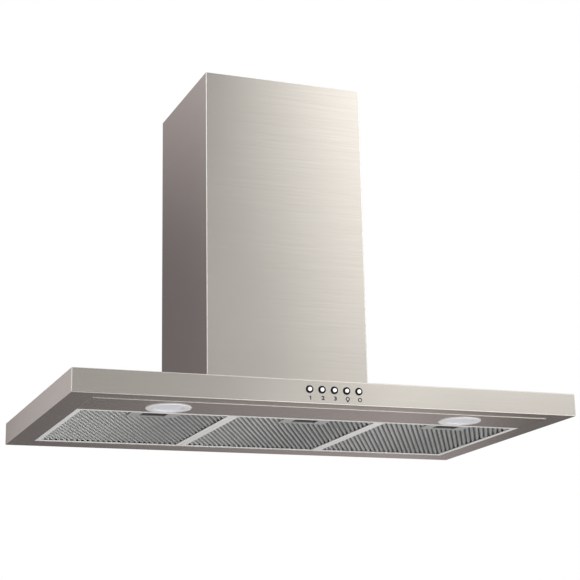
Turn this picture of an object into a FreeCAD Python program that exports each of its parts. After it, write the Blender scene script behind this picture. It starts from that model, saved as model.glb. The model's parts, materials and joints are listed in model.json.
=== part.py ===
import FreeCAD, Part
import math
import os
import re
import Sketcher

# Range hood, canopy type, wall hung. X to the right, Y into the wall, Z up.
# The wall plane is Y = 0 and the underside of the canopy is Z = 0. All sizes are millimetres.

doc = FreeCAD.newDocument("CanopyHood")
sheet = doc.addObject("Spreadsheet::Sheet", "Sizes")

SIZES = {
    "hood": {
        "hood_width": 900,
        "hood_depth": 520,
        "canopy_height": 40,
        "sheet_gauge": 1.0,
        "fold_radius": 1.8,
        "plate_gauge": 1.2,
        "overrun": 5,
        "free_gap": 0.3,
        "panel_gap": 0.6,
    },
    "canopy openings": {
        "front_strip": 32.5,
        "side_strip": 41.5,
        "rear_strip": 54.5,
        "lamp_panel_depth": 103.5,
        "blower_opening_width": 240,
        "blower_opening_front": 252,
        "blower_opening_rear": 28,
        "rear_flange_depth": 18,
    },
    "wall fixing": {
        "wall_bolt_spacing": 640,
        "wall_bolt_height": 20,
        "wall_hole_radius": 4,
    },
    "lamp panel": {
        "lip_width": 10,
        "clip_spacing": 350,
        "clip_width": 14,
        "clip_reach": 9,
        "clip_setback": 24,
    },
    "lamps": {
        "lamp_inset": 5.8,
        "lamp_setback": 92,
        "bezel_radius": 38,
        "bezel_drop": 1.8,
        "bezel_round": 1.0,
        "lens_view_radius": 24.5,
        "lens_radius": 29.8,
        "lens_thickness": 2.4,
        "barrel_radius": 32,
        "barrel_wall": 1.5,
        "barrel_height": 12,
        "can_radius": 34.5,
        "can_inner_radius": 32.3,
        "can_height": 30,
        "fin_height": 5,
        "fin_width": 1.6,
        "spring_width": 10,
        "spring_foot": 8,
        "spring_gauge": 0.8,
        "spring_rise": 18,
    },
    "buttons": {
        "button_pitch": 22,
        "button_group_centre": -9.2,
        "button_height": 24,
        "ring_radius": 6.4,
        "ring_stand": 1.8,
        "ring_round": 0.6,
        "ring_barrel_radius": 5.1,
        "ring_barrel_depth": 11,
        "cap_radius": 4.0,
        "cap_bore_radius": 4.35,
        "cap_stand": 3.6,
        "cap_round": 0.8,
        "cap_length": 15,
        "stem_radius": 1.6,
        "stem_bore_radius": 1.95,
        "stem_length": 10,
        "button_travel": 3,
        "switch_setback": 20,
        "switch_depth": 18,
        "switch_height": 18,
        "switch_margin": 9,
        "switch_bore_depth": 12,
    },
    "chimney": {
        "chimney_width": 308.8,
        "chimney_depth": 286,
        "chimney_top": 662,
        "return_width": 12,
        "nest_gap": 1.0,
        "upper_gauge": 0.8,
        "upper_top_drop": 7,
        "angle_height": 16,
        "angle_width": 11,
        "angle_gauge": 1.5,
        "angle_setback": 20,
        "angle_length": 250,
        "vent_count": 6,
        "vent_height": 34,
        "vent_width": 6,
        "vent_pitch": 26,
        "vent_drop": 60,
        "chimney_screw_spacing": 170,
    },
    "wall bracket": {
        "bracket_height": 20,
        "bracket_drop": 32,
        "bracket_clearance": 1.6,
        "bracket_gauge": 1.5,
        "bracket_step": 13,
        "bracket_tab": 18,
        "bracket_bolt_spacing": 200,
        "bracket_hole_radius": 3,
    },
    "blower casing": {
        "casing_width": 264,
        "casing_front": 264,
        "casing_rear": 16,
        "casing_top": 300,
        "casing_flange": 10,
    },
    "volute": {
        "blower_centre_y": -152,
        "blower_centre_z": 155,
        "volute_base_radius": 88,
        "volute_growth": 12,
        "volute_width": 110,
        "inlet_radius": 62,
        "neck_front": -190,
        "neck_rear": -90,
        "neck_shoulder": 60,
    },
    "impeller": {
        "drum_radius": 75,
        "drum_inner_radius": 63,
        "drum_half_width": 50,
        "ring_gauge": 2,
        "disc_gauge": 2,
        "blade_gauge": 1.0,
        "blade_lean": 5,
        "blade_count": 26,
        "hub_radius": 11,
        "hub_half_length": 12,
        "shaft_radius": 4,
        "shaft_clearance": 0.05,
        "shaft_start": 14,
        "shaft_end": 118,
    },
    "motor": {
        "motor_start": 58,
        "motor_length": 54,
        "motor_radius": 38,
        "motor_shoulder": 6,
        "ring_band": 3,
        "ring_length": 9,
        "arm_width": 12,
        "arm_gauge": 3,
        "arm_reach": 74,
        "arm_foot": 8,
    },
    "outlet": {
        "collar_radius": 75,
        "collar_wall": 1.5,
        "collar_height": 45,
        "collar_centre_y": -140,
        "collar_flange_radius": 88,
        "stop_width": 6.5,
        "stop_notch": 5,
        "damper_height": 22,
        "flap_radius": 70,
        "flap_gauge": 0.8,
        "flap_hinge_gap": 3.3,
        "pin_radius": 1.5,
        "knuckle_bore": 1.56,
        "knuckle_radius": 2.6,
        "knuckle_length": 14,
        "knuckle_offset": 20,
    },
    "electrics": {
        "box_width": 58,
        "box_depth": 42,
        "box_height": 28,
        "box_offset_x": 102,
        "box_offset_y": -232,
        "box_wall": 2,
        "lid_gauge": 2,
        "gland_radius": 8,
        "gland_bore": 4,
        "gland_length": 10,
        "capacitor_radius": 14,
        "capacitor_length": 46,
        "capacitor_offset_x": -102,
        "strap_gauge": 1.2,
        "strap_width": 10,
        "strap_foot": 8,
    },
    "filters": {
        "filter_count": 3,
        "filter_gap": 0.8,
        "filter_height": 10,
        "bar_width": 9,
        "frame_gauge": 1.0,
        "hinge_gap": 0.8,
        "tab_offset": 90,
        "tab_width": 20,
        "tab_reach": 9,
        "hinge_lift": 1.3,
        "ridge_pitch": 8.6,
        "ridge_rise": 4.4,
        "mesh_gauge": 0.6,
        "ridge_slant": 62,
    },
    "filter handle": {
        "handle_width": 84,
        "handle_depth": 38,
        "finger_width": 44,
        "finger_depth": 29,
        "finger_setback": 2,
        "scoop_start": 18,
        "cup_width": 62,
        "cup_depth": 34,
        "cup_height": 8,
        "divider_gauge": 1,
        "latch_width": 20,
        "latch_gauge": 1.2,
        "latch_reach": 5.5,
        "latch_travel": 8,
        "latch_slot_gap": 0.5,
        "slider_width": 34,
        "slider_depth": 14,
        "slider_hole_width": 24,
        "slider_hole_depth": 9,
        "slider_ridge": 1.6,
        "wing_depth": 2,
        "leaf_gauge": 0.8,
        "leaf_fold": 3,
    },
    "small screws": {
        "screw_radius": 1.9,
        "screw_hole_radius": 2.0,
        "screw_head_radius": 3.4,
        "screw_head_height": 2.2,
        "screw_length": 7,
    },
}

row = 1
for heading, entries in SIZES.items():
    sheet.set("A%d" % row, heading)
    row += 1
    for alias, value in entries.items():
        sheet.set("A%d" % row, alias)
        sheet.set("B%d" % row, str(value))
        sheet.setAlias("B%d" % row, alias)
        row += 1
doc.recompute()


# Numbers and bound formulas

def size(alias):
    return float(sheet.get(alias))


def sized(formula):
    return re.sub(r"[a-z][a-z_]*", lambda word: "Sizes." + word.group(0), formula)


def bind(target, prop, formula):
    target.setExpression(prop, sized(formula))


def place(target, x="0", y="0", z="0"):
    bind(target, "Placement.Base.x", x)
    bind(target, "Placement.Base.y", y)
    bind(target, "Placement.Base.z", z)


# Primitives with bound sizes

TURNS = {
    "x": FreeCAD.Rotation(FreeCAD.Vector(0, 1, 0), 90),
    "y": FreeCAD.Rotation(FreeCAD.Vector(1, 0, 0), -90),
    "z": FreeCAD.Rotation(),
}


def slab(name, x_span, y_span, z_span):
    solid = doc.addObject("Part::Box", name)
    for side, (low, high) in zip(("Length", "Width", "Height"), (x_span, y_span, z_span)):
        bind(solid, side, "(%s) - (%s)" % (high, low))
    place(solid, x_span[0], y_span[0], z_span[0])
    return solid


def rod(name, along, start, radius, length):
    solid = doc.addObject("Part::Cylinder", name)
    solid.Placement = FreeCAD.Placement(FreeCAD.Vector(), TURNS[along])
    bind(solid, "Radius", radius)
    bind(solid, "Height", length)
    place(solid, *start)
    return solid


def joined(name, solids):
    union = doc.addObject("Part::MultiFuse", name)
    union.Shapes = solids
    union.Refine = True
    return union


def less(name, base, tools):
    tool = tools[0] if len(tools) == 1 else joined(name + "_cutters", tools)
    result = doc.addObject("Part::Cut", name)
    result.Base = base
    result.Tool = tool
    return result


def bundle(name, solids):
    group = doc.addObject("Part::Compound", name)
    group.Links = solids
    return group


# Sketched bodies with bound sizes

def new_body(name):
    return doc.addObject("PartDesign::Body", name)


def sketch_on(body, plane, lift="0"):
    sketch = body.newObject("Sketcher::SketchObject", body.Name + "_sketch")
    support = [item for item in body.Origin.OriginFeatures if item.Role == plane][0]
    sketch.AttachmentSupport = [(support, "")]
    sketch.MapMode = "FlatFace"
    bind(sketch, "AttachmentOffset.Base.z", lift)
    return sketch


def fix_point(sketch, curve, end, x, y):
    across = sketch.addConstraint(Sketcher.Constraint("DistanceX", -1, 1, curve, end, 1.0))
    sketch.setExpression("Constraints[%d]" % across, sized(x))
    up = sketch.addConstraint(Sketcher.Constraint("DistanceY", -1, 1, curve, end, 1.0))
    sketch.setExpression("Constraints[%d]" % up, sized(y))


def outline(sketch, corners):
    first = sketch.GeometryCount
    count = len(corners)
    seeds = [FreeCAD.Vector(math.cos(math.tau * k / count), math.sin(math.tau * k / count), 0)
             for k in range(count)]
    for k in range(count):
        sketch.addGeometry(Part.LineSegment(seeds[k], seeds[(k + 1) % count]), False)
    for k in range(count):
        sketch.addConstraint(Sketcher.Constraint("Coincident", first + k, 2, first + (k + 1) % count, 1))
    for k, (x, y) in enumerate(corners):
        fix_point(sketch, first + k, 1, x, y)


def rectangle(sketch, x_span, y_span):
    outline(sketch, [(x_span[0], y_span[0]), (x_span[1], y_span[0]),
                     (x_span[1], y_span[1]), (x_span[0], y_span[1])])


def circle(sketch, x, y, radius):
    ring = sketch.addGeometry(Part.Circle(FreeCAD.Vector(), FreeCAD.Vector(0, 0, 1), 1.0), False)
    fix_point(sketch, ring, 3, x, y)
    limit = sketch.addConstraint(Sketcher.Constraint("Radius", ring, 1.0))
    sketch.setExpression("Constraints[%d]" % limit, sized(radius))


def pad(body, sketch, length):
    feature = body.newObject("PartDesign::Pad", body.Name + "_pad")
    feature.Profile = sketch
    bind(feature, "Length", length)
    return feature


def pocket(body, sketch, length, upward=False):
    feature = body.newObject("PartDesign::Pocket", body.Name + "_pocket")
    feature.Profile = sketch
    feature.Reversed = upward
    bind(feature, "Length", length)
    return feature


def revolve(body, sketch):
    feature = body.newObject("PartDesign::Revolution", body.Name + "_turn")
    feature.Profile = sketch
    feature.ReferenceAxis = (sketch, ["V_Axis"])
    feature.Angle = 360
    return feature


# A block with rounded folds: the edges that run along the given axes, but not those of an open end

def folded_block(name, spans, radius, axes, open_end=None):
    body = new_body(name)
    x_span, y_span, z_span = spans
    base = sketch_on(body, "XY_Plane", z_span[0])
    rectangle(base, x_span, y_span)
    block = pad(body, base, "(%s) - (%s)" % (z_span[1], z_span[0]))
    doc.recompute()
    folded = []
    for number, edge in enumerate(block.Shape.Edges, 1):
        along = edge.tangentAt(edge.FirstParameter)
        runs = [abs(part) > 0.5 for part in along]
        at_end = open_end is not None and edge.BoundBox.YMin > open_end
        if "xyz"[runs.index(True)] in axes and not at_end:
            folded.append("Edge%d" % number)
    rounds = body.newObject("PartDesign::Fillet", name + "_folds")
    rounds.Base = (block, folded)
    bind(rounds, "Radius", radius)
    return body


# Finished pieces

pieces = []


def keep(piece):
    pieces.append(piece)
    return piece


SIDES = {"left": "-", "right": ""}

# Canopy shell: one folded sheet, open at the back, with the ring of the underside

half = "hood_width / 2"
filter_pitch = "(hood_width - 2 * side_strip - 2 * panel_gap + filter_gap) / filter_count"
filter_width = filter_pitch + " - filter_gap"
canopy_front = "-hood_depth"
inside = "%s - sheet_gauge" % half
opening_side = "%s - side_strip" % half
opening_front = "front_strip - hood_depth"
opening_rear = "-rear_strip"

shell_spans = [("-" + half, half), (canopy_front, "0"), ("0", "canopy_height")]
room_spans = [("sheet_gauge - " + half, inside), (canopy_front + " + sheet_gauge", "overrun"),
              ("sheet_gauge", "canopy_height - sheet_gauge")]
inner_fold = "fold_radius - sheet_gauge"
behind = -size("sheet_gauge")
shell_block = folded_block("shell_block", shell_spans, "fold_radius", "xyz", behind)
shell_room = folded_block("shell_room", room_spans, inner_fold, "xyz", behind)
underside_opening = slab("underside_opening", ("side_strip - " + half, opening_side),
                         (opening_front, opening_rear), ("-overrun", "2 * sheet_gauge"))
blower_opening = slab("blower_opening", ("-blower_opening_width / 2", "blower_opening_width / 2"),
                      ("-blower_opening_front", "-blower_opening_rear"),
                      ("canopy_height - 2 * sheet_gauge", "canopy_height + overrun"))

button_names = ["button_1", "button_2", "button_3", "button_light", "button_off"]
button_places = ["button_group_centre + %d * button_pitch" % (k - len(button_names) // 2)
                 for k in range(len(button_names))]
button_holes = [rod("button_hole_%d" % k, "y", (x, canopy_front + " - overrun", "button_height"),
                    "ring_barrel_radius", "2 * overrun") for k, x in enumerate(button_places)]


def screw_places(half_x, ys):
    return [(sign + half_x, y) for y in ys for sign in ("-(", "(")]


casing_side = "casing_width / 2"
casing_screw_x = casing_side + " + casing_flange / 2"
casing_screw_ys = ["-casing_rear - overrun", "-(casing_front + casing_rear) / 2",
                   "overrun - casing_front"]
angle_screw_x = "chimney_width / 2 - sheet_gauge - angle_width / 2 - angle_gauge / 2"
angle_middle = "-angle_setback - angle_length / 2"
angle_screw_ys = [angle_middle + " - chimney_screw_spacing / 2",
                  angle_middle + " + chimney_screw_spacing / 2"]


def upright_holes(name, half_x, ys):
    holes = []
    for y in ys:
        for sign in SIDES.values():
            x = "%s(%s)" % (sign, half_x)
            start = (x, y, "canopy_height - overrun")
            holes.append(rod("%s_%d" % (name, len(holes)), "z", start, "screw_hole_radius", "2 * overrun"))
    return holes


def upright_screws(name, half_x, ys, seat):
    screws = []
    for y in ys:
        for sign in SIDES.values():
            x = "%s(%s)" % (sign, half_x)
            tag = "%s_%d" % (name, len(screws))
            tip = seat + " - screw_length"
            shank = rod(tag + "_shank", "z", (x, y, tip), "screw_radius", "screw_length")
            head = rod(tag + "_head", "z", (x, y, seat), "screw_head_radius", "screw_head_height")
            screws.append(joined(tag, [shank, head]))
    return keep(bundle(name, screws))


canopy_holes = upright_holes("canopy_casing_hole", casing_screw_x, casing_screw_ys)
canopy_holes += upright_holes("canopy_angle_hole", angle_screw_x, angle_screw_ys)
keep(less("canopy_shell", shell_block,
          [shell_room, underside_opening, blower_opening] + button_holes + canopy_holes))

# Rear panel: a shallow tray set into the open back, with the two wall bolt holes

panel_side = "%s - sheet_gauge" % half
tray_fold = inner_fold + " + panel_gap"
tray_spans = [("-(%s)" % panel_side, panel_side), ("-rear_flange_depth", "0"),
              ("sheet_gauge", "canopy_height - sheet_gauge")]
tray_room_spans = [("sheet_gauge - (%s)" % panel_side, panel_side + " - sheet_gauge"),
                   ("-rear_flange_depth - overrun", "-sheet_gauge"),
                   ("2 * sheet_gauge", "canopy_height - 2 * sheet_gauge")]
tray = folded_block("rear_tray", tray_spans, tray_fold, "y")
tray_room = folded_block("rear_tray_room", tray_room_spans, tray_fold + " - sheet_gauge", "y")
wall_holes = [rod("wall_hole_" + side, "y",
                  (sign + "wall_bolt_spacing / 2", "-overrun", "wall_bolt_height"),
                  "wall_hole_radius", "2 * overrun") for side, sign in SIDES.items()]
keep(less("rear_panel", tray, [tray_room] + wall_holes))

# Lamp panel: a plate in the front of the opening, its folded lips lying on the ring

lamp_side = opening_side + " - panel_gap"
lamp_front = opening_front + " + panel_gap"
lamp_rear = opening_front + " + lamp_panel_depth"
lip_side = lamp_side + " + lip_width"
lip_front = lamp_front + " - lip_width"
lip_top = "2 * sheet_gauge"
lamp_y = "lamp_setback - hood_depth"
lamp_offset = "(%s - lamp_inset)" % filter_pitch

lamp_plate = slab("lamp_plate", ("-(%s)" % lamp_side, lamp_side), (lamp_front, lamp_rear),
                  ("0", lip_top))
lamp_lip = slab("lamp_lip", ("-(%s)" % lip_side, lip_side), (lip_front, lamp_rear),
                ("sheet_gauge", lip_top))
lamp_hollow = slab("lamp_hollow", ("sheet_gauge - (%s)" % lamp_side, lamp_side + " - sheet_gauge"),
                   (lamp_front + " + sheet_gauge", lamp_rear + " + overrun"),
                   ("sheet_gauge", "overrun"))
lamp_holes = [rod("lamp_hole_" + side, "z", (sign + lamp_offset, lamp_y, "-overrun"),
                  "barrel_radius", "2 * overrun") for side, sign in SIDES.items()]
keep(less("lamp_panel", joined("lamp_panel_blank", [lamp_plate, lamp_lip]), [lamp_hollow] + lamp_holes))

# Panel clips: stepped strips that press the front lip on the ring

clips = []
for side, sign in SIDES.items():
    clip = new_body("panel_clip_" + side)
    step = sketch_on(clip, "YZ_Plane", "-clip_width / 2")
    outline(step, [
        ("-clip_reach", "sheet_gauge"),
        ("0", "sheet_gauge"),
        ("0", lip_top),
        ("clip_reach / 2", lip_top),
        ("clip_reach / 2", lip_top + " + sheet_gauge"),
        ("-sheet_gauge", lip_top + " + sheet_gauge"),
        ("-sheet_gauge", lip_top),
        ("-clip_reach", lip_top),
    ])
    pad(clip, step, "clip_width")
    place(clip, sign + "clip_spacing", lip_front)
    clips.append(clip)
keep(bundle("lamp_panel_clips", clips))

# Lamps: bezel with its barrel, lens on the barrel's ledge, can above, two spring clips each

springs = []
for side, sign in SIDES.items():
    lamp_x = sign + lamp_offset
    bezel = new_body("lamp_bezel_" + side)
    turned = sketch_on(bezel, "XZ_Plane")
    outline(turned, [
        ("lens_view_radius", "-bezel_drop / 3"),
        ("lens_view_radius + bezel_drop", "-bezel_drop"),
        ("bezel_radius - bezel_round", "-bezel_drop"),
        ("bezel_radius", "bezel_round - bezel_drop"),
        ("bezel_radius", "0"),
        ("barrel_radius - free_gap / 2", "0"),
        ("barrel_radius - free_gap / 2", "barrel_height"),
        ("barrel_radius - barrel_wall", "barrel_height"),
        ("barrel_radius - barrel_wall", "sheet_gauge"),
        ("lens_view_radius", "sheet_gauge"),
    ])
    revolve(bezel, turned)
    place(bezel, lamp_x, lamp_y)
    keep(bezel)

    lens = new_body("lamp_lens_" + side)
    dome = sketch_on(lens, "XZ_Plane")
    outline(dome, [
        ("0", "0"),
        ("lens_view_radius - bezel_drop", "0"),
        ("lens_view_radius - bezel_drop / 2", "sheet_gauge"),
        ("lens_radius", "sheet_gauge"),
        ("lens_radius", "sheet_gauge + lens_thickness"),
        ("0", "sheet_gauge + lens_thickness"),
    ])
    revolve(lens, dome)
    place(lens, lamp_x, lamp_y)
    keep(lens)

    can = new_body("lamp_housing_" + side)
    cup = sketch_on(can, "XZ_Plane")
    outline(cup, [
        ("can_inner_radius", "sheet_gauge"),
        ("can_radius", "sheet_gauge"),
        ("can_radius", "can_height - fin_height"),
        ("0", "can_height - fin_height"),
        ("0", "barrel_height + sheet_gauge"),
        ("can_inner_radius", "barrel_height + sheet_gauge"),
    ])
    revolve(can, cup)
    fins = sketch_on(can, "XY_Plane", "can_height - fin_height")
    for k in range(-3, 4):
        rectangle(fins, ("%d * (fin_width + fin_height) - fin_width / 2" % k,
                         "%d * (fin_width + fin_height) + fin_width / 2" % k),
                  ("-can_radius / 2", "can_radius / 2"))
    pad(can, fins, "fin_height")
    place(can, lamp_x, lamp_y)
    keep(can)

    for hand, turn in SIDES.items():
        spring = new_body("lamp_spring_%s_%s" % (side, hand))
        strip = sketch_on(spring, "XZ_Plane", "-spring_width / 2")
        outline(strip, [
            (turn + "can_radius", "sheet_gauge"),
            (turn + "(can_radius + spring_foot)", "sheet_gauge"),
            (turn + "(can_radius + spring_foot)", "sheet_gauge + spring_gauge"),
            (turn + "(can_radius + spring_gauge)", "sheet_gauge + spring_gauge"),
            (turn + "(can_radius + spring_gauge)", "spring_rise"),
            (turn + "can_radius", "spring_rise"),
        ])
        pad(spring, strip, "spring_width")
        place(spring, lamp_x, lamp_y)
        springs.append(spring)
keep(bundle("lamp_clips", springs))

# Push buttons: five guide rings, five caps with stems, the switch block and its bracket

rings = []
for k, x in enumerate(button_places):
    guide = new_body("button_ring_%d" % k)
    turned = sketch_on(guide, "XY_Plane")
    outline(turned, [
        ("cap_bore_radius", "ring_barrel_depth"),
        ("cap_bore_radius", "-ring_stand"),
        ("ring_radius - ring_round", "-ring_stand"),
        ("ring_radius", "ring_round - ring_stand"),
        ("ring_radius", "0"),
        ("ring_barrel_radius", "0"),
        ("ring_barrel_radius", "ring_barrel_depth"),
    ])
    revolve(guide, turned)
    place(guide, x, canopy_front, "button_height")
    rings.append(guide)
keep(bundle("button_bezels", rings))

for name, x in zip(button_names, button_places):
    cap = new_body(name)
    turned = sketch_on(cap, "XY_Plane")
    outline(turned, [
        ("0", "-cap_stand"),
        ("cap_radius - cap_round", "-cap_stand"),
        ("cap_radius", "cap_round - cap_stand"),
        ("cap_radius", "cap_length - cap_stand"),
        ("stem_radius", "cap_length - cap_stand"),
        ("stem_radius", "cap_length - cap_stand + stem_length"),
        ("0", "cap_length - cap_stand + stem_length"),
    ])
    revolve(cap, turned)
    place(cap, x, canopy_front, "button_height")
    keep(cap)

switch_span = ("%s - switch_margin" % button_places[0], "%s + switch_margin" % button_places[-1])
switch_low = "button_height - switch_height / 2"
switch_high = "button_height + switch_height / 2"
block = new_body("switch_block")
face = sketch_on(block, "XZ_Plane", "hood_depth - switch_setback - switch_depth")
rectangle(face, switch_span, (switch_low, switch_high))
pad(block, face, "switch_depth")
bores = sketch_on(block, "XZ_Plane", "hood_depth - switch_setback")
for x in button_places:
    circle(bores, x, "button_height", "stem_bore_radius")
pocket(block, bores, "switch_bore_depth")
keep(block)

hanger = new_body("switch_bracket")
channel = sketch_on(hanger, "XZ_Plane", "hood_depth - switch_setback - switch_depth")
hanger_top = "canopy_height - sheet_gauge"
outline(channel, [
    (switch_span[0], switch_high),
    (switch_span[1], switch_high),
    (switch_span[1], hanger_top),
    (switch_span[1] + " - sheet_gauge", hanger_top),
    (switch_span[1] + " - sheet_gauge", switch_high + " + sheet_gauge"),
    (switch_span[0] + " + sheet_gauge", switch_high + " + sheet_gauge"),
    (switch_span[0] + " + sheet_gauge", hanger_top),
    (switch_span[0], hanger_top),
])
pad(hanger, channel, "switch_depth")
keep(hanger)

# Blower casing: a box on the canopy, open below, flanged round its foot

casing_block = slab("casing_block", ("-" + casing_side, casing_side), ("-casing_front", "-casing_rear"),
                    ("canopy_height", "casing_top"))
casing_foot = slab("casing_foot", ("-%s - casing_flange" % casing_side, casing_side + " + casing_flange"),
                   ("-casing_front - casing_flange", "casing_flange - casing_rear"),
                   ("canopy_height", "canopy_height + plate_gauge"))
casing_room = slab("casing_room", ("sheet_gauge - " + casing_side, casing_side + " - sheet_gauge"),
                   ("sheet_gauge - casing_front", "-casing_rear - sheet_gauge"),
                   ("canopy_height - overrun", "casing_top - sheet_gauge"))
outlet_hole = rod("outlet_hole", "z", ("0", "collar_centre_y", "casing_top - overrun"),
                  "collar_radius - collar_wall", "2 * overrun")
keep(less("blower_casing", joined("casing_blank", [casing_block, casing_foot]),
          [casing_room, outlet_hole] + upright_holes("casing_hole", casing_screw_x, casing_screw_ys)))
upright_screws("casing_screws", casing_screw_x, casing_screw_ys, "canopy_height + plate_gauge")

# Volute: three quarter arcs of growing radius round the impeller, then the neck up to the outlet


def volute_profile(inset, top):
    growth = size("volute_growth")
    base = size("volute_base_radius")
    centre_y = size("blower_centre_y")
    centre_z = size("blower_centre_z")
    lean = growth / 2
    arcs = []
    steps = [(-lean, -lean, 90), (lean, -lean, 180), (lean, lean, 270)]
    for k, (off_y, off_z, start) in enumerate(steps):
        radius = base + k * growth - inset
        points = []
        for turn in (start, start + 45, start + 90):
            angle = math.radians(turn)
            points.append(FreeCAD.Vector(0, centre_y + off_y + radius * math.cos(angle),
                                         centre_z + off_z + radius * math.sin(angle)))
        arcs.append(Part.Arc(*points).toShape())
    tongue = arcs[0].Vertexes[0].Point
    right = arcs[2].Vertexes[-1].Point
    shoulder = FreeCAD.Vector(0, right.y, centre_z + size("neck_shoulder"))
    rear_top = FreeCAD.Vector(0, size("neck_rear") - inset, top)
    front_top = FreeCAD.Vector(0, size("neck_front") + inset, top)
    walls = [Part.makeLine(right, shoulder), Part.makeLine(shoulder, rear_top),
             Part.makeLine(rear_top, front_top), Part.makeLine(front_top, tongue)]
    return Part.Face(Part.Wire(arcs + walls))


gauge = size("sheet_gauge")
volute_half = size("volute_width") / 2
roof = size("casing_top") - gauge
outer = volute_profile(0, roof)
outer.translate(FreeCAD.Vector(-volute_half, 0, 0))
volute = outer.extrude(FreeCAD.Vector(2 * volute_half, 0, 0))
inner = volute_profile(gauge, roof + gauge)
inner.translate(FreeCAD.Vector(gauge - volute_half, 0, 0))
volute = volute.cut(inner.extrude(FreeCAD.Vector(2 * (volute_half - gauge), 0, 0)))
eye = FreeCAD.Vector(-volute_half - gauge, size("blower_centre_y"), size("blower_centre_z"))
volute = volute.cut(Part.makeCylinder(size("inlet_radius"), 2 * (volute_half + gauge), eye,
                                      FreeCAD.Vector(1, 0, 0)))
scroll = doc.addObject("Part::Feature", "scroll_housing")
scroll.Shape = volute
keep(scroll)

# Impeller: two rings, a centre disc with its hub, curved blades between the rings

wheel = new_body("impeller")
disc = sketch_on(wheel, "YZ_Plane", "-disc_gauge / 2")
circle(disc, "0", "0", "drum_radius")
pad(wheel, disc, "disc_gauge")
hub = sketch_on(wheel, "YZ_Plane", "-hub_half_length")
circle(hub, "0", "0", "hub_radius")
pad(wheel, hub, "2 * hub_half_length")
blade = sketch_on(wheel, "YZ_Plane", "ring_gauge / 2 - drum_half_width")
middle = "(drum_inner_radius + drum_radius) / 2"
outline(blade, [
    ("drum_inner_radius + blade_gauge", "0"),
    (middle, "-blade_lean / 3"),
    ("drum_radius - blade_gauge", "-blade_lean"),
    ("drum_radius - blade_gauge", "blade_gauge - blade_lean"),
    (middle, "blade_gauge - blade_lean / 3"),
    ("drum_inner_radius + blade_gauge", "blade_gauge"),
])
blade_pad = pad(wheel, blade, "2 * drum_half_width - ring_gauge")
doc.recompute()
vanes = wheel.newObject("PartDesign::PolarPattern", "impeller_vanes")
vanes.Originals = [blade_pad]
vanes.Axis = (blade, ["N_Axis"])
vanes.Angle = 360
wheel.Tip = vanes
vanes.Occurrences = int(size("blade_count"))
for start in ("-drum_half_width", "drum_half_width - ring_gauge"):
    band = sketch_on(wheel, "YZ_Plane", start)
    circle(band, "0", "0", "drum_radius")
    circle(band, "0", "0", "drum_inner_radius")
    pad(wheel, band, "ring_gauge")
bore = sketch_on(wheel, "YZ_Plane", "hub_half_length")
circle(bore, "0", "0", "shaft_radius")
pocket(wheel, bore, "2 * hub_half_length")
place(wheel, "0", "blower_centre_y", "blower_centre_z")
keep(wheel)

keep(rod("rotor_shaft", "x", ("-shaft_start", "blower_centre_y", "blower_centre_z"),
         "shaft_radius", "shaft_start + shaft_end"))

# Motor and the three-armed bracket that holds it at the inlet

motor = new_body("motor")
turned = sketch_on(motor, "XY_Plane")
outline(turned, [
    ("motor_start", "shaft_radius + shaft_clearance"),
    ("motor_start", "motor_radius - motor_shoulder"),
    ("motor_start + motor_shoulder", "motor_radius"),
    ("motor_start + motor_length - motor_shoulder", "motor_radius"),
    ("motor_start + motor_length", "motor_radius - motor_shoulder"),
    ("motor_start + motor_length", "shaft_radius + shaft_clearance"),
])
spin = revolve(motor, turned)
spin.ReferenceAxis = (turned, ["H_Axis"])
place(motor, "0", "blower_centre_y", "blower_centre_z")
keep(motor)

spider = new_body("motor_bracket")
foot_plane = "volute_width / 2"
clamp = sketch_on(spider, "YZ_Plane", "motor_start + motor_shoulder")
circle(clamp, "0", "0", "motor_radius")
circle(clamp, "0", "0", "motor_radius + ring_band")
pad(spider, clamp, "ring_length")
arm = sketch_on(spider, "YZ_Plane", "motor_start + motor_shoulder")
rectangle(arm, ("motor_radius + ring_band / 2", "arm_reach"), ("-arm_width / 2", "arm_width / 2"))
arm_pad = pad(spider, arm, "arm_gauge")
toe = sketch_on(spider, "YZ_Plane", foot_plane)
rectangle(toe, ("arm_reach - arm_foot", "arm_reach"), ("-arm_width / 2", "arm_width / 2"))
toe_pad = pad(spider, toe, "motor_start + motor_shoulder + arm_gauge - " + foot_plane)
doc.recompute()
arms = spider.newObject("PartDesign::PolarPattern", "bracket_arms")
arms.Originals = [arm_pad, toe_pad]
arms.Axis = (arm, ["N_Axis"])
arms.Angle = 360
spider.Tip = arms
arms.Occurrences = 3
place(spider, "0", "blower_centre_y", "blower_centre_z")
keep(spider)

# Outlet collar with the stop ring, the damper pin and the two flaps

axis_z = "casing_top + damper_height"
collar = new_body("outlet_collar")
ring_top = "damper_height - flap_gauge / 2 - free_gap"
turned = sketch_on(collar, "XZ_Plane")
bore_radius = "collar_radius - collar_wall"
outline(turned, [
    (bore_radius, "0"),
    ("collar_flange_radius", "0"),
    ("collar_flange_radius", "plate_gauge"),
    ("collar_radius", "plate_gauge"),
    ("collar_radius", "collar_height"),
    (bore_radius, "collar_height"),
    (bore_radius, ring_top),
    (bore_radius + " - stop_width", ring_top),
    (bore_radius + " - stop_width", ring_top + " - plate_gauge"),
    (bore_radius, ring_top + " - plate_gauge"),
])
revolve(collar, turned)
notch = sketch_on(collar, "XY_Plane", ring_top + " - 2 * plate_gauge")
rectangle(notch, ("-stop_notch", "stop_notch"), ("-collar_radius + collar_wall", bore_radius))
pocket(collar, notch, "damper_height / 2", upward=True)
pin_hole = sketch_on(collar, "XZ_Plane", "-collar_radius - overrun")
circle(pin_hole, "0", "damper_height", "pin_radius")
pocket(collar, pin_hole, "2 * collar_radius + 2 * overrun", upward=True)
place(collar, "0", "collar_centre_y", "casing_top")
keep(collar)

keep(rod("damper_pin", "y", ("0", "collar_centre_y - collar_radius", axis_z), "pin_radius",
         "2 * collar_radius"))

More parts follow.
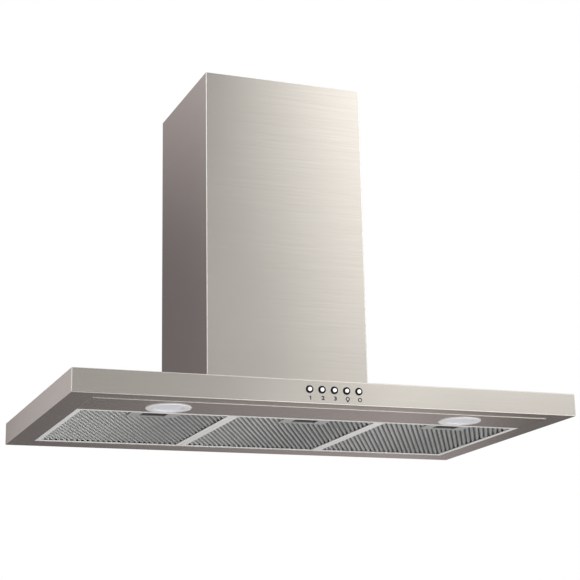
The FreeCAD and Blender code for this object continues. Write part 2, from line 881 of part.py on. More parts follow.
flap_low = axis_z + " - flap_gauge / 2"
for side, sign in SIDES.items():
    tag = "damper_flap_" + side
    away = "-1" if sign else "1"
    disc = rod(tag + "_disc", "z", ("0", "collar_centre_y", flap_low), "flap_radius", "flap_gauge")
    spare = "flap_hinge_gap" if not sign else "-flap_radius - overrun"
    far = "flap_radius + overrun" if not sign else "-flap_hinge_gap"
    window = slab(tag + "_window", (spare, far),
                  ("collar_centre_y - flap_radius - overrun", "collar_centre_y + flap_radius + overrun"),
                  (flap_low + " - overrun", flap_low + " + overrun"))
    leaf = doc.addObject("Part::Common", tag + "_leaf")
    leaf.Base = disc
    leaf.Tool = window
    shift = "knuckle_length / 2 + free_gap"
    centres = ["collar_centre_y - knuckle_offset + %s(%s)" % (sign, shift),
               "collar_centre_y + knuckle_offset + %s(%s)" % (sign, shift)]
    barrels = []
    tubes = []
    webs = []
    for k, centre in enumerate(centres):
        start = centre + " - knuckle_length / 2"
        barrels.append(rod("%s_barrel_%d" % (tag, k), "y", ("0", start, axis_z),
                           "knuckle_radius", "knuckle_length"))
        tubes.append(rod("%s_bore_%d" % (tag, k), "y", ("0", start + " - free_gap", axis_z),
                         "knuckle_bore", "knuckle_length + 2 * free_gap"))
        reach = ("0", "flap_hinge_gap + knuckle_radius")
        if sign:
            reach = ("-flap_hinge_gap - knuckle_radius", "0")
        webs.append(slab("%s_web_%d" % (tag, k), reach, (start, start + " + knuckle_length"),
                         (flap_low, flap_low + " + flap_gauge")))
    keep(less(tag, joined(tag + "_blank", [leaf] + barrels + webs), tubes))

# Terminal box with its cord gland, and the motor capacitor in its strap

box_low_x = "box_offset_x - box_width / 2"
box_high_x = "box_offset_x + box_width / 2"
box_low_y = "box_offset_y - box_depth / 2"
box_high_y = "box_offset_y + box_depth / 2"
gland_z = "casing_top + box_height / 2"
case = slab("case_block", (box_low_x, box_high_x), (box_low_y, box_high_y),
            ("casing_top", "casing_top + box_height"))
case_room = slab("case_room", (box_low_x + " + box_wall", box_high_x + " - box_wall"),
                 (box_low_y + " + box_wall", box_high_y + " - box_wall"),
                 ("casing_top + box_wall", "casing_top + box_height + overrun"))
nose = rod("gland_nose", "x", (box_low_x + " - gland_length", "box_offset_y", gland_z), "gland_radius",
           "gland_length")
nose_bore = rod("gland_bore_cut", "x", (box_low_x + " - gland_length - overrun", "box_offset_y", gland_z),
                "gland_bore", "gland_length + box_wall + 2 * overrun")
keep(less("terminal_box", joined("case_blank", [case, nose]), [case_room, nose_bore]))
keep(slab("terminal_lid", (box_low_x, box_high_x), (box_low_y, box_high_y),
          ("casing_top + box_height", "casing_top + box_height + lid_gauge")))

can_start = "capacitor_offset_x - capacitor_length / 2"
can_z = "casing_top + capacitor_radius"
keep(rod("capacitor", "x", (can_start, "box_offset_y", can_z), "capacitor_radius", "capacitor_length"))
strap_x = ("capacitor_offset_x - strap_width / 2", "capacitor_offset_x + strap_width / 2")
band = rod("strap_band", "x", (strap_x[0], "box_offset_y", can_z), "capacitor_radius + strap_gauge",
           "strap_width")
legs = slab("strap_legs", strap_x, ("box_offset_y - capacitor_radius - strap_gauge",
                                    "box_offset_y + capacitor_radius + strap_gauge"), ("casing_top", can_z))
feet = slab("strap_feet", strap_x, ("box_offset_y - capacitor_radius - strap_foot",
                                    "box_offset_y + capacitor_radius + strap_foot"),
            ("casing_top", "casing_top + strap_gauge"))
strap_core = rod("strap_core", "x", (strap_x[0] + " - overrun", "box_offset_y", can_z), "capacitor_radius",
                 "strap_width + 2 * overrun")
strap_gap = slab("strap_gap", (strap_x[0] + " - overrun", strap_x[1] + " + overrun"),
                 ("box_offset_y - capacitor_radius", "box_offset_y + capacitor_radius"),
                 ("casing_top - overrun", can_z))
strap_floor = slab("strap_floor", (strap_x[0] + " - overrun", strap_x[1] + " + overrun"),
                   ("box_offset_y - 2 * capacitor_radius", "box_offset_y + 2 * capacitor_radius"),
                   ("casing_top - 2 * capacitor_radius", "casing_top"))
keep(less("capacitor_strap", joined("strap_blank", [band, legs, feet]),
          [strap_core, strap_gap, strap_floor]))

# Chimney: a lower cover, a telescopic upper cover inside it, and the two angles at its foot


def cover(name, half_width, front, rear, gauge, low, high, cutters):
    outer_spans = [("-(%s)" % half_width, half_width), (front, rear), (low, high)]
    through = (low + " - overrun", high + " + overrun")
    inner_spans = [("%s - (%s)" % (gauge, half_width), "%s - %s" % (half_width, gauge)),
                   ("%s + %s" % (front, gauge), "%s - %s" % (rear, gauge)), through]
    block = folded_block(name + "_block", outer_spans, "fold_radius", "z")
    room = folded_block(name + "_room", inner_spans, "fold_radius - " + gauge, "z")
    slot_side = "%s - %s - return_width" % (half_width, gauge)
    slot = slab(name + "_slot", ("-(%s)" % slot_side, slot_side),
                ("%s - 2 * %s" % (rear, gauge), rear + " + overrun"), through)
    return keep(less(name, block, [room, slot] + cutters))


lower_half = "chimney_width / 2"
cover("lower_chimney", lower_half, "-chimney_depth", "0", "sheet_gauge", "canopy_height", "chimney_top", [])

upper_half = "chimney_width / 2 - sheet_gauge - nest_gap"
upper_front = "sheet_gauge + nest_gap - chimney_depth"
upper_rear = "-sheet_gauge - nest_gap"
upper_low = "canopy_height + angle_height + free_gap"
upper_high = "chimney_top - upper_top_drop"
vents = []
vent_count = int(size("vent_count"))
for k in range(vent_count):
    centre = "(%s + %s) / 2 + %g * vent_pitch" % ("-chimney_depth", "0", k - (vent_count - 1) / 2)
    vents.append(slab("vent_%d" % k, ("-chimney_width", "chimney_width"),
                      (centre + " - vent_width / 2", centre + " + vent_width / 2"),
                      (upper_high + " - vent_drop - vent_height", upper_high + " - vent_drop")))
bracket_mid = upper_high + " - bracket_drop + bracket_height / 2"
tab_screw_y = "-bracket_step - bracket_tab / 2"
upper_screw_cut = rod("upper_screw_cut", "x", ("-chimney_width", tab_screw_y, bracket_mid),
                      "screw_hole_radius", "2 * chimney_width")
cover("upper_chimney", upper_half, upper_front, upper_rear, "upper_gauge", upper_low, upper_high,
      vents + [upper_screw_cut])

angles = []
for side, sign in SIDES.items():
    angle = new_body("chimney_angle_" + side)
    section = sketch_on(angle, "XZ_Plane", "angle_setback")
    wall_x = "(chimney_width / 2 - sheet_gauge)"
    outline(section, [
        (sign + wall_x, "canopy_height"),
        (sign + wall_x, "canopy_height + angle_height"),
        ("%s(%s - angle_gauge)" % (sign, wall_x), "canopy_height + angle_height"),
        ("%s(%s - angle_gauge)" % (sign, wall_x), "canopy_height + angle_gauge"),
        ("%s(%s - angle_width)" % (sign, wall_x), "canopy_height + angle_gauge"),
        ("%s(%s - angle_width)" % (sign, wall_x), "canopy_height"),
    ])
    pad(angle, section, "angle_length")
    drill = sketch_on(angle, "XY_Plane", "canopy_height + 2 * angle_gauge")
    for y in angle_screw_ys:
        circle(drill, "%s(%s)" % (sign, angle_screw_x), y, "screw_hole_radius")
    pocket(angle, drill, "3 * angle_gauge")
    angles.append(angle)
keep(bundle("chimney_base_angles", angles))
upright_screws("chimney_screws", angle_screw_x, angle_screw_ys, "canopy_height + angle_gauge")

# Wall bracket of the upper cover: a stepped strip with two bolt holes and two screwed tabs

upper_inner = "(%s - upper_gauge)" % upper_half
bracket = new_body("upper_wall_bracket")
path = sketch_on(bracket, "XY_Plane", upper_high + " - bracket_drop")
bend = "(%s - upper_gauge - return_width - bracket_clearance)" % upper_half
right_side = [
    (bend, "0"),
    (bend, "-bracket_step + bracket_gauge"),
    (upper_inner, "-bracket_step + bracket_gauge"),
    (upper_inner, "-bracket_step - bracket_tab"),
    (upper_inner + " - bracket_gauge", "-bracket_step - bracket_tab"),
    (upper_inner + " - bracket_gauge", "-bracket_step"),
    (bend + " - bracket_gauge", "-bracket_step"),
    (bend + " - bracket_gauge", "-bracket_gauge"),
]
left_side = [("-(%s)" % x, y) for x, y in reversed(right_side)]
outline(path, right_side + left_side)
pad(bracket, path, "bracket_height")
bolt_face = sketch_on(bracket, "XZ_Plane", "bracket_gauge")
for sign in SIDES.values():
    circle(bolt_face, sign + "bracket_bolt_spacing / 2", bracket_mid, "bracket_hole_radius")
pocket(bracket, bolt_face, "2 * bracket_gauge")
tab_face = sketch_on(bracket, "YZ_Plane", "chimney_width / 2")
circle(tab_face, tab_screw_y, bracket_mid, "screw_hole_radius")
pocket(bracket, tab_face, "chimney_width")
keep(bracket)

tab_screws = []
for side, sign in SIDES.items():
    screw = new_body("tab_screw_" + side)
    turned = sketch_on(screw, "XZ_Plane")
    outline(turned, [
        (sign + "(%s)" % upper_half, "0"),
        (sign + "(%s)" % upper_half, "screw_radius"),
        ("%s(%s - bracket_gauge)" % (sign, upper_inner), "screw_radius"),
        ("%s(%s - bracket_gauge)" % (sign, upper_inner), "screw_head_radius"),
        ("%s(%s - bracket_gauge - screw_head_height)" % (sign, upper_inner), "screw_head_radius"),
        ("%s(%s - bracket_gauge - screw_head_height)" % (sign, upper_inner), "0"),
    ])
    spin = revolve(screw, turned)
    spin.ReferenceAxis = (turned, ["H_Axis"])
    place(screw, "0", tab_screw_y, bracket_mid)
    tab_screws.append(screw)
keep(bundle("upper_bracket_screws", tab_screws))

# Grease filters: frame, corrugated mesh, handle, sliding latch and its leaf spring, three times

filter_half = "((%s) / 2)" % filter_width
filter_front = lamp_rear + " + panel_gap"
filter_rear = "-rear_strip - hinge_gap"
frame_inner = filter_half + " - bar_width"
handle_front = filter_front + " + bar_width"
cup_top = "frame_gauge + cup_height"
latch_low = "frame_gauge + free_gap"
latch_high = latch_low + " + latch_gauge"
latch_tip = lamp_rear + " - latch_reach"
latch_slot = "(latch_width / 2 + latch_slot_gap)"
slider_front = handle_front + " + 2 * frame_gauge"
slider_rear = slider_front + " + slider_depth"
cup_rear = handle_front + " + cup_depth"


def mesh_sheet():
    pitch = size("ridge_pitch")
    rise = size("ridge_rise")
    thick = size("mesh_gauge")
    slant = math.radians(size("ridge_slant"))
    along = FreeCAD.Vector(math.cos(slant), math.sin(slant), 0)
    across = FreeCAD.Vector(math.sin(slant), -math.cos(slant), 0)
    opening = size("hood_width") - 2 * size("side_strip") - 2 * size("panel_gap")
    width = (opening + size("filter_gap")) / size("filter_count") - size("filter_gap")
    side = width / 2 - size("frame_gauge") - size("free_gap")
    front = (size("front_strip") - size("hood_depth") + size("lamp_panel_depth") + size("panel_gap")
             + size("frame_gauge") + size("free_gap"))
    rear = -size("rear_strip") - size("hinge_gap") - size("frame_gauge") - size("free_gap")
    low = size("frame_gauge")
    middle = FreeCAD.Vector(0, (front + rear) / 2, 0)
    reach = math.hypot(side, (rear - front) / 2)
    folds = int(2 * reach / pitch) + 2
    lower = []
    upper = []
    for k in range(-folds, folds + 1):
        foot = middle + across * (k * pitch / 2) + FreeCAD.Vector(0, 0, low + (rise if k % 2 else 0))
        lower.append(foot)
        upper.append(foot + FreeCAD.Vector(0, 0, thick))
    ring = lower + upper[::-1]
    start = along * -reach
    zigzag = Part.Face(Part.makePolygon([point + start for point in ring + ring[:1]]))
    folded = zigzag.extrude(along * 2 * reach)
    trim = Part.makeBox(2 * side, rear - front, 2 * (rise + thick) + low, FreeCAD.Vector(-side, front, 0))
    cup_side = size("cup_width") / 2 + size("free_gap")
    cup_end = (front - size("frame_gauge") - size("free_gap") + size("bar_width") + size("cup_depth")
               + size("free_gap"))
    notch = Part.makeBox(2 * cup_side, cup_end - front + size("overrun"), 2 * (rise + thick) + 2 * low,
                         FreeCAD.Vector(-cup_side, front - size("overrun"), -low))
    return folded.common(trim.cut(notch))


mesh_shape = mesh_sheet()
for side, offset in (("left", "-" + filter_pitch), ("middle", "0"), ("right", filter_pitch)):
    tag = "filter_" + side
    block = slab(tag + "_block", ("-" + filter_half, filter_half), (filter_front, filter_rear),
                 ("0", "filter_height"))
    window = slab(tag + "_window", ("-(%s)" % frame_inner, frame_inner),
                  (filter_front + " + bar_width", filter_rear + " - bar_width"),
                  ("-overrun", "filter_height + overrun"))
    groove = slab(tag + "_groove", ("frame_gauge - " + filter_half, filter_half + " - frame_gauge"),
                  (filter_front + " + frame_gauge", filter_rear + " - frame_gauge"),
                  ("frame_gauge", "filter_height - frame_gauge"))
    slot = slab(tag + "_slot", ("-" + latch_slot, latch_slot),
                (filter_front + " - overrun", filter_front + " + overrun"),
                ("frame_gauge", latch_high + " + free_gap"))
    tabs = [slab("%s_tab_%s" % (tag, hand),
                 ("%stab_offset - tab_width / 2" % sign, "%stab_offset + tab_width / 2" % sign),
                 (filter_rear + " - frame_gauge", filter_rear + " + tab_reach"),
                 ("hinge_lift", "hinge_lift + plate_gauge")) for hand, sign in SIDES.items()]
    hollow = less(tag + "_channel", block, [window, groove, slot])
    frame = joined("filter_frame_" + side, [hollow] + tabs)
    place(frame, offset)
    keep(frame)

    mesh = doc.addObject("Part::Feature", "filter_mesh_" + side)
    mesh.Shape = mesh_shape
    place(mesh, offset)
    keep(mesh)

    handle = new_body("filter_handle_" + side)
    plate = sketch_on(handle, "XY_Plane")
    rectangle(plate, ("-handle_width / 2", "handle_width / 2"),
              (handle_front, handle_front + " + handle_depth"))
    pad(handle, plate, "frame_gauge")
    cup = sketch_on(handle, "XY_Plane", "frame_gauge")
    rectangle(cup, ("-cup_width / 2", "cup_width / 2"), (handle_front, cup_rear))
    pad(handle, cup, "cup_height")
    room_top = cup_top + " - frame_gauge"
    scoop_end = handle_front + " + finger_setback + finger_depth"
    scoop = sketch_on(handle, "YZ_Plane", "finger_width / 2")
    outline(scoop, [
        (handle_front + " + frame_gauge", "frame_gauge"),
        (scoop_end, "frame_gauge"),
        (handle_front + " + scoop_start", room_top),
        (handle_front + " + frame_gauge", room_top),
    ])
    pocket(handle, scoop, "finger_width")
    pocket_side = "finger_width / 2 + divider_gauge"
    rooms = sketch_on(handle, "XY_Plane", "frame_gauge")
    for sign in SIDES.values():
        rectangle(rooms, ("%s(%s)" % (sign, pocket_side), "%s(cup_width / 2 - frame_gauge)" % sign),
                  (handle_front + " + frame_gauge", cup_rear + " - frame_gauge"))
    pocket(handle, rooms, "cup_height - frame_gauge", upward=True)
    track = sketch_on(handle, "XY_Plane", "frame_gauge")
    rectangle(track, ("frame_gauge - cup_width / 2", "cup_width / 2 - frame_gauge"),
              (handle_front + " + frame_gauge",
               slider_front + " + wing_depth + latch_travel + frame_gauge"))
    pocket(handle, track, "latch_gauge + 2 * free_gap", upward=True)
    finger = sketch_on(handle, "XY_Plane", "frame_gauge")
    rectangle(finger, ("-finger_width / 2", "finger_width / 2"),
              (handle_front + " + finger_setback", scoop_end))
    pocket(handle, finger, "2 * frame_gauge")
    gate = sketch_on(handle, "XY_Plane", "frame_gauge")
    rectangle(gate, ("-" + latch_slot, latch_slot),
              (handle_front + " - overrun", handle_front + " + 2 * frame_gauge"))
    pocket(handle, gate, "latch_gauge + 2 * free_gap", upward=True)
    place(handle, offset)
    keep(handle)

    wing = "(cup_width / 2 - frame_gauge - latch_slot_gap)"
    latch = new_body("filter_latch_" + side)
    bar = sketch_on(latch, "XY_Plane", latch_low)
    outline(bar, [
        ("-latch_width / 2", latch_tip),
        ("latch_width / 2", latch_tip),
        ("latch_width / 2", slider_front),
        (wing, slider_front),
        (wing, slider_front + " + wing_depth"),
        ("slider_width / 2", slider_front + " + wing_depth"),
        ("slider_width / 2", slider_rear),
        ("-slider_width / 2", slider_rear),
        ("-slider_width / 2", slider_front + " + wing_depth"),
        ("-" + wing, slider_front + " + wing_depth"),
        ("-" + wing, slider_front),
        ("-latch_width / 2", slider_front),
    ])
    pad(latch, bar, "latch_gauge")
    ridge = sketch_on(latch, "XY_Plane", latch_high)
    rectangle(ridge, ("-slider_hole_width / 2", "slider_hole_width / 2"),
              (slider_rear + " - latch_gauge", slider_rear))
    pad(latch, ridge, "slider_ridge")
    hole = sketch_on(latch, "XY_Plane", latch_high)
    rectangle(hole, ("-slider_hole_width / 2", "slider_hole_width / 2"),
              (slider_rear + " - latch_gauge - slider_hole_depth", slider_rear + " - latch_gauge"))
    pocket(latch, hole, "2 * latch_gauge")
    place(latch, offset)
    keep(latch)

    strips = []
    for hand, sign in SIDES.items():
        strip = new_body("leaf_%s_%s" % (side, hand))
        folds = sketch_on(strip, "XY_Plane", latch_low)
        spring_start = slider_front + " + wing_depth"
        spring_end = cup_rear + " - frame_gauge"
        base = "%s(%s - leaf_fold)" % (sign, wing)
        steps = [base, base + " + leaf_fold / 2", base + " - leaf_fold / 2", base + " + leaf_fold / 2",
                 base + " - leaf_fold / 2", base]
        run = "((%s) - (%s)) / %d" % (spring_end, spring_start, len(steps) - 1)
        stations = ["(%s) + %d * %s" % (spring_start, k, run) for k in range(len(steps))]
        near = list(zip(steps, stations))
        far_edge = [(x + " + leaf_gauge", y) for x, y in near]
        outline(folds, near + far_edge[::-1])
        pad(strip, folds, "latch_gauge")
        place(strip, offset)
        strips.append(strip)
    keep(bundle("latch_spring_" + side, strips))

# Check every object, then write the pieces

doc.recompute()
for item in doc.Objects:
    if "Invalid" in item.State or "Error" in item.State:
        raise RuntimeError("%s is %s" % (item.Name, item.State))
os.makedirs("parts", exist_ok=True)
for piece in pieces:
    if piece.Shape.isNull() or not piece.Shape.isValid():
        raise RuntimeError(piece.Label + " has no valid shape")
    piece.Shape.exportStep("parts/%s.step" % piece.Label)
    box = piece.Shape.BoundBox
    print("%-22s %d solids  x %.1f..%.1f  y %.1f..%.1f  z %.1f..%.1f" % (
        piece.Label, len(piece.Shape.Solids), box.XMin, box.XMax, box.YMin, box.YMax, box.ZMin, box.ZMax))
print(len(pieces), "pieces")
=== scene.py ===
# %% [markdown]
# This script dresses the imported CAD model of a wall-hung canopy range hood. The CAD model is the fixed
# frame: every piece made here is in metres, in the same place as the solid that it stands for.

# %% Load the frame
import json
import math

import bmesh
import bpy
from mathutils import Matrix, Vector


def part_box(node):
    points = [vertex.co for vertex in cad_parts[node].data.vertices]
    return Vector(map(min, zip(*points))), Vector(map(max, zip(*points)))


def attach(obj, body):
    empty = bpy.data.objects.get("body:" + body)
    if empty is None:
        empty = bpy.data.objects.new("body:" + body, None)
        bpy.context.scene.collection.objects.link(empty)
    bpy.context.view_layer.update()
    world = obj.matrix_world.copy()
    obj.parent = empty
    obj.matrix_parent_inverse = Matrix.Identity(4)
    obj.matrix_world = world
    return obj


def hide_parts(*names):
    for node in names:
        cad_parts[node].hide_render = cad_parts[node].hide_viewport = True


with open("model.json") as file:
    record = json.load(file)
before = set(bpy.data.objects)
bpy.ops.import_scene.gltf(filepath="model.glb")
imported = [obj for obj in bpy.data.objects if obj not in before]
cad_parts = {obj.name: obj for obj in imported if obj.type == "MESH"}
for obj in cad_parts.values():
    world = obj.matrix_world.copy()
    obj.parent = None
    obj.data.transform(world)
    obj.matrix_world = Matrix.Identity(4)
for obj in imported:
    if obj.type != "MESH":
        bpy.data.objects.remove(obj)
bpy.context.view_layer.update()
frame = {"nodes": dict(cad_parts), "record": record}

nodes = frame["nodes"]
print("CAD nodes:", len(nodes))

# %% [markdown]
# The photograph looks up at the hood from the left, from nearly three metres away, with a long lens. A
# camera could be placed by eye, but then no edge would lie where it should. So it was fitted to the edges
# of the hood, which gives its place, its three turns, its focal length in pixels and the point where its
# axis meets the picture. Blender wants the last two as a lens and as a shift, both counted against the
# picture's width.

# %% Camera
PICTURE = 580
FOCAL_PX = 1604.73
AXIS_PX = (353.32, 252.78)
SENSOR_MM = 36
FAR_END = 100
EYE = Vector((-1.00777, -2.94093, -0.48435))
YAW = 0.405789
PITCH = 0.276892
ROLL = -0.029844

forward = Vector((math.sin(YAW) * math.cos(PITCH), math.cos(YAW) * math.cos(PITCH), math.sin(PITCH)))
level = Vector((math.cos(YAW), -math.sin(YAW), 0))
upright = level.cross(forward)
right = math.cos(ROLL) * level + math.sin(ROLL) * upright
up = math.cos(ROLL) * upright - math.sin(ROLL) * level
bpy.ops.object.camera_add()
camera = bpy.context.active_object
camera.name = "camera"
turn = Matrix((right, up, -forward)).transposed().to_4x4()
camera.matrix_world = Matrix.Translation(EYE) @ turn
camera.data.sensor_width = SENSOR_MM
camera.data.lens = FOCAL_PX / PICTURE * SENSOR_MM
camera.data.shift_x = (PICTURE / 2 - AXIS_PX[0]) / PICTURE
camera.data.shift_y = (AXIS_PX[1] - PICTURE / 2) / PICTURE
camera.data.clip_end = FAR_END
bpy.context.scene.camera = camera
print("lens", round(camera.data.lens, 2), "mm")

# %% [markdown]
# Two things are needed everywhere. Colours are written as sRGB hex values, as a paint chart gives them, and
# Blender counts in linear light, so one function turns one into the other. Node trees could be wired by
# hand in the shader editor; in a script the same is done by one function that adds a node, sets its options
# and feeds its sockets. A Mix node has several sockets of each name, so they go by number: 0 is the share
# of the second one, 4 and 5 are its vectors, and 6 and 7 its colours.

# %% Colours and nodes
MM = 0.001


def linear(hex_text):
    values = [int(hex_text[k:k + 2], 16) / 255 for k in (1, 3, 5)]
    return [v / 12.92 if v <= 0.04045 else ((v + 0.055) / 1.055) ** 2.4 for v in values] + [1.0]


def add(tree, kind, links=None, **settings):
    """Add a node, set its options, and give each input a value or link it to the socket that feeds it."""
    node = tree.nodes.new(kind)
    for name, value in settings.items():
        setattr(node, name, value)
    for socket, source in (links or {}).items():
        if isinstance(source, bpy.types.NodeSocket):
            tree.links.new(source, node.inputs[socket])
        else:
            node.inputs[socket].default_value = source
    return node


print("a middle grey in linear light:", round(linear("#808080")[0], 3))

# %% [markdown]
# An operator acts on everything that is selected, and loading leaves the CAD nodes selected. So each step
# first deselects all, and then makes its own piece the active one.

# %% Selection


def deselect():
    if bpy.context.mode != "OBJECT":
        bpy.ops.object.mode_set(mode="OBJECT")
    bpy.ops.object.select_all(action="DESELECT")


def activate(piece):
    deselect()
    piece.select_set(True)
    bpy.context.view_layer.objects.active = piece


deselect()
print("selected now:", len(bpy.context.selected_objects))

# %% [markdown]
# Brushed stainless steel shows what stands round it as soft streaks, so the studio matters as much as the
# material. The background is white to the camera, to reflections and through glass, and gives only a plain
# level of light, so that a white background doesn't wash the object out.

# %% White background and plain world light
WORLD_LEVEL = 0.62

world = bpy.data.worlds.new("studio")
bpy.context.scene.world = world
world.use_nodes = True
sky = world.node_tree
sky.nodes.clear()
rays = add(sky, "ShaderNodeLightPath")
seen = add(sky, "ShaderNodeMath", {0: rays.outputs["Is Camera Ray"], 1: rays.outputs["Is Glossy Ray"]},
           operation="MAXIMUM")
seen = add(sky, "ShaderNodeMath", {0: seen.outputs[0], 1: rays.outputs["Is Transmission Ray"]},
           operation="MAXIMUM")
dim = add(sky, "ShaderNodeBackground", {"Color": linear("#FFFFFF"), "Strength": WORLD_LEVEL})
white = add(sky, "ShaderNodeBackground", {"Color": linear("#FFFFFF"), "Strength": 1.0})
both = add(sky, "ShaderNodeMixShader", {0: seen.outputs[0], 1: dim.outputs[0], 2: white.outputs[0]})
add(sky, "ShaderNodeOutputWorld", {"Surface": both.outputs[0]})
bpy.context.scene.view_settings.view_transform = "Standard"
print("world level", WORLD_LEVEL)

# %% [markdown]
# Two large soft lamps light the hood from the front on the right and on the left, and a weak one lifts the
# underside. The first two stand where no flat plane of the hood mirrors them towards the camera, and the
# weak one is left out of reflections altogether.

# %% Lamps


def soft_lamp(name, place, aim, width, height, watts):
    bpy.ops.object.light_add(type="AREA", location=place)
    lamp = bpy.context.active_object
    lamp.name = name
    lamp.data.shape = "RECTANGLE"
    lamp.data.size = width
    lamp.data.size_y = height
    lamp.data.energy = watts
    lamp.rotation_euler = (Vector(aim) - Vector(place)).to_track_quat("-Z", "Y").to_euler()
    return lamp


soft_lamp("right_lamp", (4.4, -3.0, 2.6), (0, 0, 0.3), 2.0, 2.0, 60)
soft_lamp("left_lamp", (-3.4, -3.6, 2.8), (0, 0, 0.3), 1.8, 1.8, 40)
low_lamp = soft_lamp("low_lamp", (0.0, -2.1, -1.35), (0, -0.2, 0), 1.6, 0.8, 36)
low_lamp.visible_glossy = False

# %% [markdown]
# The floor is plain and pale. It lies well below the hood, which hangs on a wall, so that the hood can also
# be looked at from below.

# %% Floor
FLOOR_Z = -2.9
FLOOR_SIZE = 24


def named_material(name):
    material = bpy.data.materials.new(name)
    material.use_nodes = True
    material.node_tree.nodes.clear()
    return material, material.node_tree


def flat_board(name, centre, width, height, standing):
    deselect()
    turn = (math.pi / 2, 0, 0) if standing else (0, 0, 0)
    bpy.ops.mesh.primitive_plane_add(size=1, location=centre, rotation=turn)
    board = bpy.context.active_object
    board.name = name
    board.scale = (width, height, 1)
    bpy.ops.object.transform_apply(location=True, rotation=True, scale=True)
    return board


floor = flat_board("floor", (0, 0, FLOOR_Z), FLOOR_SIZE, FLOOR_SIZE, False)
paint, tree = named_material("pale floor")
matt = add(tree, "ShaderNodeBsdfDiffuse", {"Color": linear("#E8E6E2")})
add(tree, "ShaderNodeOutputMaterial", {"Surface": matt.outputs[0]})
floor.data.materials.append(paint)
print("floor at", FLOOR_Z, "m")

# %% [markdown]
# A photographer lights flat steel with large boards that it mirrors, graded from light to dark. A picture
# of a studio could stand for them, but plain boards are simpler and can be moved. Each gives off an even
# light of its own that only reflections see. Its material runs through a row of greys along X, and can
# blend into a second row further up.

# %% How a graded board is made


def grey_run(tree, value, stops):
    """A grey that runs through the stops (place, level) as the value runs along them."""
    first = stops[0][0]
    length = stops[-1][0] - first
    along = add(tree, "ShaderNodeMapRange", {"Value": value, "From Min": first, "From Max": first + length})
    node = add(tree, "ShaderNodeValToRGB", {"Fac": along.outputs[0]})
    points = node.color_ramp.elements
    while len(points) < len(stops):
        points.new(0.5)
    for point, (place, level) in zip(points, stops):
        point.position = (place - first) / length
        point.color = (level, level, level, 1)
    return node.outputs[0]


def hidden_board(name, centre, width, height, standing, tint, low, high=None, blend=(0.0, 1.0)):
    """A board for reflections only: along X a low run of greys, which blends upwards into a high one."""
    board = flat_board(name, centre, width, height, standing)
    high = high or low
    brightest = max(level for place, level in low + high)
    material, tree = named_material(name + " paint")
    place = add(tree, "ShaderNodeTexCoord").outputs["Object"]
    axes = add(tree, "ShaderNodeSeparateXYZ", {0: place})
    runs = [grey_run(tree, axes.outputs["X"], [(x, level / brightest) for x, level in run])
            for run in (low, high)]
    rise = add(tree, "ShaderNodeMapRange",
               {"Value": axes.outputs["Z"], "From Min": blend[0], "From Max": blend[1]})
    tone = add(tree, "ShaderNodeMix", {0: rise.outputs["Result"], 6: runs[0], 7: runs[1]}, data_type="RGBA")
    paint = add(tree, "ShaderNodeMix", {0: 1.0, 6: tone.outputs[2], 7: linear(tint)},
                data_type="RGBA", blend_type="MULTIPLY")
    glow = add(tree, "ShaderNodeEmission", {"Color": paint.outputs[2], "Strength": brightest})
    add(tree, "ShaderNodeOutputMaterial", {"Surface": glow.outputs[0]})
    board.data.materials.append(material)
    board.visible_camera = False
    board.visible_shadow = False
    board.visible_diffuse = False
    print(name, "reaches level", brightest)


# %% [markdown]
# The front of the hood mirrors the board behind the camera, brighter towards the right. The chimney's side
# and the underside mirror the one behind the wall plane and the low one, and a small card lifts the end of
# the canopy. One more, low in front, lights up the rounded fold under the front.

# %% Boards round the hood
hidden_board("front_board", (2.6, -6.0, 3.6), 7.0, 10.0, True, "#FFFDFA",
             [(-0.9, 0.86), (0.6, 0.84), (1.2, 0.78), (1.5, 0.67), (1.8, 0.38), (2.1, 0.10), (2.4, 0.22),
              (2.7, 0.65), (3.0, 0.67), (3.3, 0.60), (3.7, 0.57), (4.2, 0.51), (6.1, 0.49)],
             [(-0.9, 0.0), (1.5, 0.0), (1.8, 0.38), (2.1, 1.01), (2.4, 1.79), (2.7, 2.44), (3.0, 2.41),
              (3.3, 2.19), (3.7, 2.04), (4.2, 1.90), (6.1, 1.86)], (0.9, 3.6))
hidden_board("back_board", (0.6, 3.0, 0.6), 6.0, 4.0, True, "#FFF3F4",
             [(-2.4, 0.22), (-1.2, 0.215), (-1.06, 0.20), (-0.8, 0.19), (-0.2, 0.18), (0.25, 0.17),
              (0.6, 0.24), (1.2, 0.36), (1.75, 0.52), (2.05, 0.34), (2.35, 0.07), (3.6, 0.05)],
             [(-2.4, 0.80), (-1.2, 0.78), (-1.06, 0.84), (-0.2, 0.80), (3.6, 0.80)], (1.35, 2.5))
hidden_board("low_board", (0.4, 1.4, -1.4), 8.0, 3.2, False, "#FFF3F4",
             [(-4.0, 0.2), (0.3, 0.2), (1.2, 0.3), (2.0, 0.3), (4.4, 0.2)])
hidden_board("end_card", (-0.93, 0.6, 0.15), 0.76, 1.5, True, "#FFF6F5",
             [(-1.31, 0.57), (-0.72, 0.64), (-0.64, 0.54), (-0.55, 0.44)])
hidden_board("fold_card", (0.8, -3.0, -1.42), 3.6, 3.2, False, "#FFFDFA",
             [(-1.0, 0.3), (0.0, 0.5), (0.5, 1.5), (0.8, 2.4), (2.6, 2.4)])

# %% [markdown]
# The low front of the canopy needs a darker left and a lighter middle than the chimney above it, but both
# mirror the same part of the front board, because the brushing draws every reflection out upwards. A
# photographer stands a small card close to the low part for this. It is only as high as the canopy's
# reflection there, and at both ends it has the tones of the board behind it.

